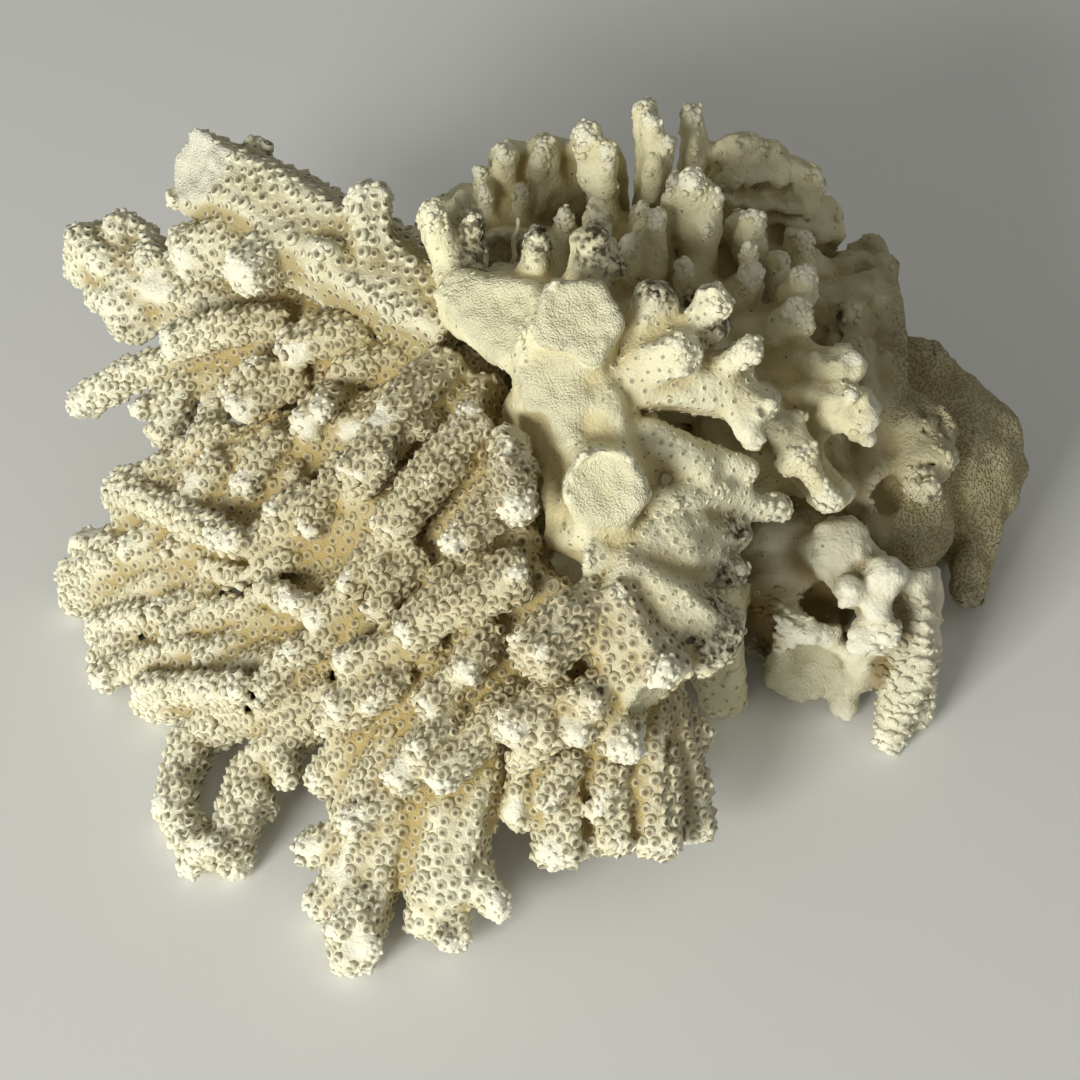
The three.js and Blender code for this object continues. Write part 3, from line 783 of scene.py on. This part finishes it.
def tip_bulge(points):
    """How far each point bulges out, with the unevenness of the tips."""
    return sampled(near_hollow, points) + uneven("tips", points)


def marks_at(points):
    """What the material needs to know at each point, from 0 to 1. Cups set their own painted shade in the
    pits and painted highlights on the rims.
    """
    return {
        # The tan of the hollows: partly the coral's stain, partly painted shade.
        "hollow_tan_and_shade": ramp(sampled(near_hollow, points), *HOLLOW_LEVELS),
        # Painted shade where much solid crowds round a point.
        "painted_shade": ramp(sampled(solid_share, points), *PAINTED_SHADE_LEVELS),
        "tip": np.maximum(ramp(tip_bulge(points), *TIP_LEVELS), scraped_at(points)),
        "dirt": dirt_at(points),
        "broken": broken_at(points),
        "porous": porous_at(points),
        "inner": ramp(sampled(growth, points), *INNER_GROWTH),
        "pit_shade": np.zeros(len(points)),
        "rim": np.zeros(len(points)),
    }


# Worn places of the fan, where the cups are low: pixel and radius.
WORN = [
    (110, 268, 13), (130, 300, 11), (455, 820, 8), (462, 880, 7), (430, 905, 5), (310, 590, 4),
    (480, 375, 10), (440, 345, 9), (500, 400, 9), (525, 430, 9), (550, 475, 8), (640, 620, 9), (600, 590, 6),
    (680, 650, 6),
]
# How far the cups are worn down at the ends of the fan, and how far from the trunk that begins and ends.
WORN_ENDS = 0.45
WORN_GROWTH = (80, 115)
# The bulges where cups stand up fully, and where they are low.
LOW_LEVELS = (0.35, -0.15)


def lowness_at(points):
    """How low the cups are at each point, from 0 on the fingers to 1 in the hollows and worn places."""
    low = ramp(sampled(near_hollow, points), *LOW_LEVELS)
    low = np.maximum(low, WORN_ENDS * ramp(sampled(growth, points), *WORN_GROWTH))
    return np.maximum(low, closeness(points, spots(WORN), core=0.6))


# Folded places of the heads and the right mass: pixel and radius. Folds are the edges of flat cells, whose
# middles are scattered by a hash. They are widest at 0 and end at the given share of a cell.
FOLDS = [(775, 185, 13), (745, 160, 9), (850, 265, 11), (868, 330, 10), (870, 420, 10), (845, 370, 8)]
FOLD_SIZE = np.array([5.0, 5.0, 3.6])
FOLD_HEIGHT = 1.3
FOLD_WIDTH = 0.4
FOLD_MEAN = 0.35
HASH_WAYS = np.array([[127.1, 269.5, 419.2], [311.7, 183.3, 371.9], [74.7, 246.1, 158.2]])
HASH_SIZE = 43758.5453

# Rows of ripples on the feet: the way from row to row, their distance, the width of the scales' band, the
# mean distance from a row, and the places where they are, as pixel and radius.
RIPPLE_WAY = unit(np.array([0.27, 0.56, 0.78]))
RIPPLES_APART = 2.0
RIPPLE_WIDTH = 0.14
RIPPLE_MEAN = 0.25
RIPPLED = [(900, 635, 8), (912, 680, 9), (908, 725, 8), (778, 622, 7), (762, 650, 6), (735, 672, 7)]

# Rough tips and breaks: the heights of their relief, and the bulges where they begin and are full.
# Then the means of folds, and the height below which the foot keeps its form.
ROUGH_HEIGHTS = (0.08, 0.36)
ROUGH_LEVELS = (0.8, 1.3)
ROUGH_BREAKS = 0.45
UNSEEN_TURN = -0.5
UNSEEN_MEAN = 0.4
WORN_MEAN = 0.5
FOOT_LEVEL = 0.2


def off_fold(points):
    """How far each point lies from the edge between two cells, in shares of a cell."""
    scaled = points / FOLD_SIZE
    first = np.full(len(points), np.inf)
    second = first.copy()
    for step in NEIGHBOURS:
        cell = np.floor(scaled) + np.array(step)
        middle = cell + np.sin(cell @ HASH_WAYS) * HASH_SIZE % 1
        distance = lengths_of(middle - scaled)
        second = np.minimum(second, np.maximum(first, distance))
        first = np.minimum(first, distance)
    return second - first


def off_ripple(points):
    """How far each point lies from a row of ripples, from 0 on the row to 0.5 half-way to the next."""
    rows = points @ RIPPLE_WAY / RIPPLES_APART + uneven("ripples", points)
    return np.abs(rows - np.round(rows))


def rippled_at(points):
    """How rippled the feet are at each point, from 0 to 1."""
    return closeness(points, spots(RIPPLED), core=0.7) * (1 - broken_at(points))


def roughened(node, points):
    """Points of a node's surface, moved by the fine relief of its part of the coral."""
    outwards = slope(form, points)
    rough = np.maximum(ramp(sampled(near_hollow, points), *ROUGH_LEVELS), ROUGH_BREAKS * broken_at(points))
    relief = uneven("fine", points) + uneven("broad", points)
    relief += between(ROUGH_HEIGHTS, rough) * uneven("rough", points)
    unseen = ramp(outwards @ VIEW_BACK, 0.0, UNSEEN_TURN)
    relief += unseen * (uneven("unseen lumps", points) + folds("unseen folds", points, UNSEEN_MEAN))
    if SLOTS[node] in ("worn_coral", "porous_coral"):
        relief += folds("worn folds", points, WORN_MEAN)
        folded = closeness(points, spots(FOLDS), core=0.6)
        relief += FOLD_HEIGHT * folded * (ramp(off_fold(points), FOLD_WIDTH, 0.0) - FOLD_MEAN)
    if SLOTS[node] == "rippled_coral":
        rippled = rippled_at(points)
        relief += rippled * (RIPPLE_MEAN - off_ripple(points))
        relief += (1 - rippled) * np.abs(uneven("lumps", points))
    moved = points + outwards * relief[:, None]
    moved[:, 2] = np.where(points[:, 2] < FOOT_LEVEL, points[:, 2], np.maximum(moved[:, 2], FOOT_LEVEL))
    return moved


# How the cups of each part look, on its fingers and in its hollows: the distance between them, their
# radius, height and mouth. Then how far they lean towards the tip for each millimetre of height, how much
# their distances and sizes vary, and how strong the painted shade in their mouths is.
PLAIN = dict(lean=0.0, uneven=0.3, sizes=0.25, mouth_shade=0.85)
BARE = dict(PLAIN, apart=(10.0, 9.0), radius=(0.45, 0.45), height=(0.18, 0.18), mouth=(0.3, 0.3))
CUPS = {
    "scaly_coral": dict(
        apart=(1.9, 2.08), radius=(0.96, 0.94), height=(0.82, 0.34), mouth=(0.58, 0.42),
        lean=0.6, uneven=0.08, sizes=0.12, mouth_shade=1.0),
    "pitted_coral": dict(
        apart=(2.3, 2.55), radius=(0.92, 0.84), height=(0.62, 0.36), mouth=(0.6, 0.54),
        lean=0.35, uneven=0.18, sizes=0.22, mouth_shade=1.0),
    "pored_coral": dict(
        PLAIN, apart=(2.4, 2.9), radius=(0.54, 0.5), height=(0.22, 0.18), mouth=(0.34, 0.32),
        lean=0.1, mouth_shade=0.72),
    "smooth_coral": dict(
        PLAIN, apart=(2.9, 9.0), radius=(0.52, 0.5), height=(0.2, 0.18), mouth=(0.34, 0.3), mouth_shade=0.75),
    "worn_coral": dict(
        PLAIN, apart=(8.5, 7.5), radius=(0.42, 0.42), height=(0.18, 0.18), mouth=(0.28, 0.28), lean=0.1),
    "porous_coral": BARE,
    "rippled_coral": BARE,
}
GAP_RANGE = (0.7, 1.6)
SIZE_RANGE = (0.6, 1.4)
ORDER_SPREAD = 0.5
# Cups and grains stay off tips and breaks past these shares, and off the lowest edge.
MOST_TIP = 0.6
MOST_BROKEN = 0.3
LOWEST_PLACE = 1.2
# The form of a cup. Its foot is wide and sunk. Its lip rises on the side towards the trunk, in low cups
# all round, and never falls below the least share of the height.
CUP_SIDES = 7
FOOT_SHARE = 1.22
FOOT_SINK = 0.35
LIP_SHARE = 0.8
LEAST_LIP = 0.07
LIP_UNEVEN = 0.1
CRESCENT_POWER = 1.4
LOW_CRESCENT = 0.1
INNER_LIP = 0.97
FLOOR_HEIGHT = 0.08
FLOOR_SHARE = 0.4
FLOOR_LEAN = 0.6
# How strong the painted shade on the mouth's wall and floor is in low cups and in raised ones, how
# strong the painted shade round a raised cup's foot is, and how strong the painted highlight on the lip
# is outside and inside.
PIT_WALL_SHADE = (0.55, 0.5)
PIT_FLOOR_SHADE = (1.0, 0.95)
FOOT_SHADE = 0.85
LIP_HIGHLIGHT = (0.9, 0.7)
CANDIDATES_PER_MM2 = 5
SURFACE_SLACK = 0.1


def candidates(node):
    """Random points on the part of a node's surface that shows."""
    points, quads = surfaces[node]
    corners = points[quads]
    diagonals = np.cross(corners[:, 2] - corners[:, 0], corners[:, 3] - corners[:, 1])
    areas = lengths_of(diagonals) / 2
    count = int(areas.sum() * CANDIDATES_PER_MM2)
    chosen = random.choice(len(quads), count, p=areas / areas.sum())
    a, b = random.random((2, count, 1))
    c = corners[chosen]
    places = (c[:, 0] * (1 - a) + c[:, 1] * a) * (1 - b) + (c[:, 3] * (1 - a) + c[:, 2] * a) * b
    cell = np.round(places / VOXEL - low_cell).astype(int)
    mine = owner[tuple(cell.T)] == node_names.index(node)
    return places[mine & (np.abs(sampled(form, places)) < SURFACE_SLACK)]


def spaced(places, order, gaps):
    """The places that are kept, in the given order, so that none is nearer to another than its gap."""
    taken, kept = {}, []
    listed = places.tolist()
    keys = np.floor(places / gaps.max()).astype(int).tolist()
    squares = (gaps ** 2).tolist()

    def crowded(index):
        x, y, z = listed[index]
        i, j, k = keys[index]
        for a, b, c in NEIGHBOURS:
            for px, py, pz in taken.get((i + a, j + b, k + c), ()):
                if (px - x) ** 2 + (py - y) ** 2 + (pz - z) ** 2 < squares[index]:
                    return True
        return False

    for index in order:
        if not crowded(index):
            taken.setdefault(tuple(keys[index]), []).append(listed[index])
            kept.append(index)
    return places[np.array(kept, int)]


# A mesh is its points, triangles, quads and marks.
def ring_faces(rings, sides):
    """Quads between rings of points, and triangles that close the first ring."""
    side = np.arange(sides)
    following = (side + 1) % sides
    band = np.stack([side, following, following + sides, side + sides], 1)
    cap = np.stack([np.zeros(sides - 2, int), side[2:], side[1:-1]], 1)
    return np.concatenate([band + ring * sides for ring in range(rings - 1)]), cap


def many(forms, rings, sides, marks):
    """Many small forms as one mesh. Each is rings of points and one point that closes the last ring."""
    count, per_form = forms.shape[:2]
    quads, cap = ring_faces(rings, sides)
    last = np.arange(sides) + (rings - 1) * sides
    top = np.stack([last, np.roll(last, -1), np.full(sides, rings * sides)], 1)
    triangles = np.concatenate([top, cap])
    starts = (np.arange(count) * per_form)[:, None, None]
    return forms.reshape(-1, 3), (triangles + starts).reshape(-1, 3), (quads + starts).reshape(-1, 4), marks


def cup_places(node, style):
    """Where the cups of a node stand, those nearest to the trunk chosen first, and their marks."""
    places = candidates(node)
    varied = np.clip(1 + style["uneven"] * random.standard_normal(len(places)), *GAP_RANGE)
    gaps = between(style["apart"], lowness_at(places)) * varied
    order = np.argsort(sampled(growth, places) + ORDER_SPREAD * random.random(len(places)))
    places = spaced(places, order, gaps)
    marks = marks_at(places)
    keep = (marks["tip"] < MOST_TIP) & (marks["broken"] < MOST_BROKEN) & (places[:, 2] > LOWEST_PLACE)
    return places[keep], {name: value[keep] for name, value in marks.items()}


def cup_marks(marks, raised, mouth_shade):
    """The marks of all points of the cups: painted shade in the mouths, painted highlights on the lips and
    painted shade round the feet.
    """
    count = len(raised)
    hollow_tan_and_shade = marks["hollow_tan_and_shade"][:, None]
    per_ring = [CUP_SIDES, CUP_SIDES, CUP_SIDES, 1]
    # The feet of raised cups take the hollow tan as painted shade.
    foot = np.maximum(hollow_tan_and_shade, FOOT_SHADE * raised)
    nothing = np.zeros_like(raised)
    walls = mouth_shade * between(PIT_WALL_SHADE, raised)
    floors = mouth_shade * between(PIT_FLOOR_SHADE, raised)
    marks = {name: np.repeat(value, sum(per_ring)) for name, value in marks.items()}
    marks["hollow_tan_and_shade"] = np.concatenate([foot, hollow_tan_and_shade, hollow_tan_and_shade, hollow_tan_and_shade], 1).repeat(per_ring, 1).ravel()
    # Painted shade in the mouths, on their walls and floors.
    marks["pit_shade"] = np.concatenate([nothing, nothing, walls, floors], 1).repeat(per_ring, 1).ravel()
    # Painted highlights on the lips, outside and inside.
    marks["rim"] = np.tile(np.repeat([0, *LIP_HIGHLIGHT, 0], per_ring), count)
    return marks


def cups_of(node):
    """The cups on a node, as a mesh."""
    style = CUPS[SLOTS[node]]
    places, marks = cup_places(node, style)
    low = lowness_at(places)[:, None]
    outwards = slope(form, places)
    tipwards = slope(growth, places)
    tipwards = unit(tipwards - (tipwards * outwards).sum(1, keepdims=True) * outwards)
    across = np.cross(outwards, tipwards)
    places = roughened(node, places)

    count = len(places)
    size = np.clip(1 + style["sizes"] * random.standard_normal((count, 1)), *SIZE_RANGE)
    radius = between(style["radius"], low) * size
    height = between(style["height"], low) * size
    mouth = between(style["mouth"], low) * size
    lean = style["lean"] * height
    angles = np.arange(CUP_SIDES) * 2 * math.pi / CUP_SIDES + random.random((count, 1)) * 2 * math.pi
    along, aside = np.cos(angles), np.sin(angles)
    varied = 1 + LIP_UNEVEN * random.standard_normal((count, CUP_SIDES))
    crescent = ((1 - along) / 2) ** CRESCENT_POWER
    all_round = 1 - LOW_CRESCENT * (1 + along)
    lip = height * np.maximum(between((crescent, all_round), low), LEAST_LIP) * varied

    def ring(wide, tall, shift):
        return (places[:, None] + tipwards[:, None] * (wide * along + shift)[..., None]
                + across[:, None] * (wide * aside)[..., None] + outwards[:, None] * tall[..., None])

    foot = ring(radius * FOOT_SHARE, np.full((count, CUP_SIDES), -FOOT_SINK), 0 * lean)
    outer = ring(radius * LIP_SHARE, lip, lean)
    inner = ring(mouth, lip * INNER_LIP, lean)
    floor = places + outwards * np.minimum(FLOOR_HEIGHT, height * FLOOR_SHARE) + tipwards * lean * FLOOR_LEAN
    raised = 1 - low if SLOTS[node] == "scaly_coral" else np.zeros_like(low)
    forms = np.concatenate([foot, outer, inner, floor[:, None]], 1)
    return many(forms, 3, CUP_SIDES, cup_marks(marks, raised, style["mouth_shade"]))


# Grains on the tips, and scales in the rows of ripples: the distance between them, their radius and
# height, the bulges where they begin and where they cover the tip, and how far scales are stretched.
GRAINS = {
    "scaly_coral": dict(apart=1.2, radius=0.64, height=0.5, bulge=(0.98, 1.18)),
    "pitted_coral": dict(apart=1.2, radius=0.66, height=0.4, bulge=(0.98, 1.18)),
    "pored_coral": dict(apart=1.0, radius=0.78, height=0.24, bulge=(0.85, 1.15)),
    "smooth_coral": dict(apart=1.0, radius=0.78, height=0.24, bulge=(0.9, 1.2)),
    "worn_coral": dict(apart=1.0, radius=0.76, height=0.26, bulge=(0.8, 1.1)),
    "porous_coral": dict(apart=1.3, radius=0.75, height=0.25, bulge=(0.8, 1.3)),
    "rippled_coral": dict(apart=1.15, radius=0.58, height=0.42, bulge=(0.9, 1.3), stretch=2.3),
}
GRAIN_SIDES = 6
GRAIN_SIZES = (0.6, 1.25)
GRAIN_UNEVEN = (0.75, 1.2)
GRAIN_SINK = 0.25
SHOULDER_WIDTH = 0.75
SHOULDER_HEIGHT = 0.6
SCALE_SWING = 0.25
# How far the rims of the breaks, which have no grains, reach out beyond them.
RIM_REACH = 1.35


def grains_of(node):
    """The grains or scales on a node, as a mesh."""
    style = GRAINS[SLOTS[node]]
    in_rows = SLOTS[node] == "rippled_coral"
    places = candidates(node)
    if in_rows:
        share = rippled_at(places) * (off_ripple(places) < RIPPLE_WIDTH)
    else:
        share = ramp(tip_bulge(places), *style["bulge"]) * (1 - broken_at(places, RIM_REACH))
    places = places[(random.random(len(places)) < share) & (places[:, 2] > LOWEST_PLACE)]
    order = random.permutation(len(places))
    places = spaced(places, order, np.full(len(places), style["apart"]))
    marks = marks_at(places)
    outwards = slope(form, places)
    aim = random.normal(size=outwards.shape)
    if in_rows:
        aim = RIPPLE_WAY + SCALE_SWING * aim
    across = unit(np.cross(outwards, aim))
    along = np.cross(across, outwards)
    across = across * style.get("stretch", 1)
    places = roughened(node, places)[:, None]
    outwards = outwards[:, None]

    count = len(places)
    size = random.uniform(*GRAIN_SIZES, (count, 1))
    angles = np.arange(GRAIN_SIDES) * 2 * math.pi / GRAIN_SIDES
    rim = along[:, None] * np.cos(angles)[:, None] + across[:, None] * np.sin(angles)[:, None]
    wide = random.uniform(*GRAIN_UNEVEN, (count, GRAIN_SIDES, 1)) * size[..., None] * style["radius"]
    tall = (size * style["height"])[..., None]
    base = places + rim * wide - outwards * GRAIN_SINK
    shoulder = places + rim * wide * SHOULDER_WIDTH + outwards * tall * SHOULDER_HEIGHT
    forms = np.concatenate([base, shoulder, places + outwards * tall], 1)
    marks = {name: np.repeat(value, forms.shape[1]) for name, value in marks.items()}
    return many(forms, 2, GRAIN_SIDES, marks)


# The thin stalk that stands on the holdfast: pixels of its root and tip, its radii and its bends.
STALK_PIXELS = (512, 264, 518, 222)
STALK_RADII = (0.45, 0.35)
STALK_SIDES = 6
STALK_STEPS = 6
STALK_BEND = 0.35
STALK_BENDS = 9


def stalk():
    """The stalk, as a mesh."""
    root, tip = upright(*STALK_PIXELS)
    shares = np.linspace(0, 1, STALK_STEPS)[:, None]
    middles = root + (tip - root) * shares + STALK_BEND * np.sin(shares * STALK_BENDS) * VIEW_RIGHT
    angles = np.arange(STALK_SIDES) * 2 * math.pi / STALK_SIDES
    rim = np.stack([np.cos(angles), np.sin(angles), 0 * angles], 1)
    points = (middles[:, None] + rim * between(STALK_RADII, shares)[..., None]).reshape(-1, 3)
    quads, cap = ring_faces(STALK_STEPS, STALK_SIDES)
    triangles = np.concatenate([cap, cap[:, ::-1] + (STALK_STEPS - 1) * STALK_SIDES])
    marks = {name: np.zeros(len(points)) for name in marks_at(points)}
    marks["tip"] += 1
    return points, triangles, quads, marks


def skin_of(node):
    """A node's surface, as a mesh."""
    points, quads = surfaces[node]
    return roughened(node, points), np.zeros((0, 3), int), quads, marks_at(points)


def together(parts):
    """Several meshes as one, with nothing below the table."""
    starts = np.cumsum([0] + [len(part[0]) for part in parts])
    points = np.concatenate([part[0] for part in parts])
    points[:, 2] = np.maximum(points[:, 2], 0)
    triangles = np.concatenate([part[1] + start for part, start in zip(parts, starts)])
    quads = np.concatenate([part[2] + start for part, start in zip(parts, starts)])
    marks = {name: np.concatenate([part[3][name] for part in parts]) for name in parts[0][3]}
    return points, triangles, quads, marks


def mesh_object(name, points, triangles, quads, marks):
    """A Blender object of that mesh, with the marks as its attributes."""
    mesh = bpy.data.meshes.new(name)
    mesh.from_pydata((points * MM).astype(np.float32), [], triangles.tolist() + quads.tolist())
    mesh.validate()
    mesh.shade_smooth()
    for mark, values in marks.items():
        attribute = mesh.attributes.new(mark, "FLOAT", "POINT")
        attribute.data.foreach_set("value", values.astype(np.float32))
    piece = bpy.data.objects.new(name, mesh)
    bpy.context.scene.collection.objects.link(piece)
    return piece


def linear(red, green, blue):
    """Linear values of a colour given as it shows, from 0 to 255."""
    shares = [c / 255 for c in (red, green, blue)]
    return (*[s / 12.92 if s <= 0.04045 else ((s + 0.055) / 1.055) ** 2.4 for s in shares], 1)


# Colours that the parts share.
FACE_COLOUR = linear(228, 223, 191)
BROKEN_COLOUR = linear(240, 237, 220)
# The rim colour is a painted highlight on the lips of the cups.
RIM_HIGHLIGHT_COLOUR = linear(240, 239, 216)
# The pit colour is painted shade in the mouths of the cups.
PIT_SHADE_COLOUR = linear(96, 75, 34)
DIRT_COLOUR = linear(70, 60, 42)
PORE_COLOUR = linear(124, 108, 72)


def look(pale, hollow_tan_and_shade, tips, painted_shade=0.5, face=FACE_COLOUR):
    """A part's colours, whose hollow tan is partly its stain and partly painted shade, how white its tips
    are, how strong the painted shade is where solid crowds round, and its broken faces.
    """
    return dict(pale=linear(*pale), hollow_tan_and_shade=linear(*hollow_tan_and_shade), tips=tips, painted_shade=painted_shade, face=face)


LOOKS = {
    "scaly_coral": look((240, 238, 215), (174, 153, 98), 0.7),
    "pitted_coral": look((226, 222, 195), (172, 156, 110), 0.7, face=BROKEN_COLOUR),
    "pored_coral": look((231, 227, 198), (196, 181, 136), 0.3),
    "smooth_coral": look((232, 228, 194), (206, 192, 146), 0.3),
    "worn_coral": look((228, 222, 188), (178, 163, 116), 0.6),
    "porous_coral": look((194, 187, 154), (172, 158, 117), 0.2),
    # The feet have a dark hollow tan and strong painted shade, for the shade that falls on the wall beside
    # them.
    "rippled_coral": look((238, 234, 209), (128, 110, 68), 0.6, painted_shade=0.95),
}


def plain_material(name, roughness):
    """A material and its shader."""
    material = bpy.data.materials.new(name)
    material.use_nodes = True
    shader = material.node_tree.nodes["Principled BSDF"]
    shader.inputs["Roughness"].default_value = roughness
    return material, shader


def coral_material(slot):
    """The material of a slot, coloured by the marks on the mesh."""
    material, shader = plain_material(slot, roughness=0.88)
    nodes, links = material.node_tree.nodes, material.node_tree.links

    def add_node(kind, output, inputs, **settings):
        node = nodes.new("ShaderNode" + kind)
        for name, value in settings.items():
            setattr(node, name, value)
        for name, value in inputs.items():
            if isinstance(value, bpy.types.NodeSocket):
                links.new(value, node.inputs[name])
            else:
                node.inputs[name].default_value = value
        return node.outputs[output]

    def mark(name):
        return add_node("Attribute", "Fac", {}, attribute_name=name)

    def mix(share, first, second):
        return add_node("Mix", 2, {"Factor": share, 6: first, 7: second}, data_type="RGBA")

    def noise(scale, detail):
        return add_node("TexNoise", "Fac", {"Scale": scale, "Detail": detail, "Vector": places})

    def spread(value, start, end, low=0.0, high=1.0):
        ends = {"From Min": start, "From Max": end, "To Min": low, "To Max": high}
        return add_node("MapRange", "Result", {"Value": value, **ends})

    def scaled(value, high, low=0.0):
        return spread(value, 0, 1, low, high)

    def tinted(colour, name, share, tint):
        return mix(scaled(mark(name), share), colour, tint)

    def arithmetic(operation, first, second):
        return add_node("Math", "Value", {0: first, 1: second}, operation=operation)

    places = add_node("TexCoord", "Object", {})
    own = LOOKS[slot]
    # Hollows take the tan, partly the coral's own stain and partly painted shade.
    colour = tinted(own["pale"], "hollow_tan_and_shade", share=0.9, tint=own["hollow_tan_and_shade"])
    # Painted shade where much solid crowds round a point.
    colour = tinted(colour, "painted_shade", own["painted_shade"], own["hollow_tan_and_shade"])
    blotches = spread(noise(scale=160, detail=4), start=0.35, end=0.7, high=0.35)
    colour = mix(blotches, colour, own["hollow_tan_and_shade"])
    # Painted highlight on the lips of the cups.
    colour = tinted(colour, "rim", share=0.6, tint=RIM_HIGHLIGHT_COLOUR)
    if slot == "scaly_coral":
        colour = tinted(colour, "inner", share=0.4, tint=own["hollow_tan_and_shade"])
    colour = tinted(colour, "tip", own["tips"], BROKEN_COLOUR)
    colour = tinted(colour, "broken", share=0.75, tint=own["face"])
    # Painted shade in the mouths of the cups.
    colour = mix(mark("pit_shade"), colour, PIT_SHADE_COLOUR)
    crust = spread(noise(scale=900, detail=6), start=0.38, end=0.58, low=0.25)
    colour = mix(arithmetic("MULTIPLY", mark("dirt"), crust), colour, DIRT_COLOUR)
    height = arithmetic("ADD", scaled(noise(scale=420, detail=3), high=1.6), noise(scale=1500, detail=5))
    if slot == "porous_coral":
        voronoi = {"Scale": 2000, "Vector": places}
        distance = add_node("TexVoronoi", "Distance", voronoi, feature="SMOOTH_F1")
        pores = arithmetic("MULTIPLY", spread(distance, start=0.45, end=0.2), mark("porous"))
        colour = tinted(colour, "porous", share=0.35, tint=own["hollow_tan_and_shade"])
        colour = mix(scaled(pores, high=0.28), colour, PORE_COLOUR)
        height = arithmetic("ADD", scaled(pores, high=0, low=2), height)
    sugar = arithmetic("MULTIPLY", noise(scale=2600, detail=3), scaled(mark("broken"), high=2.6))
    height = arithmetic("ADD", height, sugar)
    bump = add_node("Bump", "Normal", {"Strength": 0.7, "Distance": 0.0005, "Height": height})

    shader.inputs["Specular IOR Level"].default_value = 0.25
    links.new(colour, shader.inputs["Base Color"])
    links.new(bump, shader.inputs["Normal"])
    return material


materials = {slot: coral_material(slot) for slot in LOOKS}
for node in node_names:
    parts = [skin_of(node), cups_of(node), grains_of(node)]
    if node == "holdfast":
        parts.append(stalk())
    piece = mesh_object(node + "_skin", *together(parts))
    piece.data.materials.append(materials[SLOTS[node]])
    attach(piece, "root")
    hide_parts(node)


# The floor, the light and the camera, in metres and watts.
def make_floor():
    bpy.ops.mesh.primitive_plane_add(size=6, location=(0, 0, 0))
    floor = bpy.context.object
    floor.name = "floor"
    material, shader = plain_material("floor", roughness=0.9)
    shader.inputs["Base Color"].default_value = (0.93, 0.93, 0.92, 1)
    floor.data.materials.append(material)


def placed(name, data, location, towards):
    """An object in the scene at that place, with its back turned towards a direction."""
    placed_object = bpy.data.objects.new(name, data)
    placed_object.location = location
    placed_object.rotation_mode = "QUATERNION"
    placed_object.rotation_quaternion = towards.to_track_quat("Z", "Y")
    bpy.context.scene.collection.objects.link(placed_object)
    return placed_object


def make_light(direction, distance):
    data = bpy.data.lights.new("key", "AREA")
    data.size = 0.53
    data.energy = 20.3
    data.color = (0.99, 0.992, 0.93)
    towards = Vector(direction).normalized()
    placed("key", data, Vector(VIEW_TARGET * MM) + towards * distance, towards)


def make_camera(sensor):
    data = bpy.data.cameras.new("camera")
    data.sensor_width = sensor
    data.lens = sensor * VIEW_DISTANCE * PIXELS_PER_MM / (2 * PICTURE_MIDDLE)
    bpy.context.scene.camera = placed("camera", data, Vector(eye * MM), Vector(VIEW_BACK))


def make_world():
    world = bpy.data.worlds.new("studio")
    world.use_nodes = True
    background = world.node_tree.nodes["Background"]
    background.inputs["Color"].default_value = (0.99, 0.985, 0.92, 1)
    background.inputs["Strength"].default_value = 0.24
    bpy.context.scene.world = world


make_floor()
make_light(direction=(-0.53, -0.8, 0.28), distance=1.4)
make_camera(sensor=36)
make_world()
bpy.context.scene.view_settings.view_transform = "Standard"
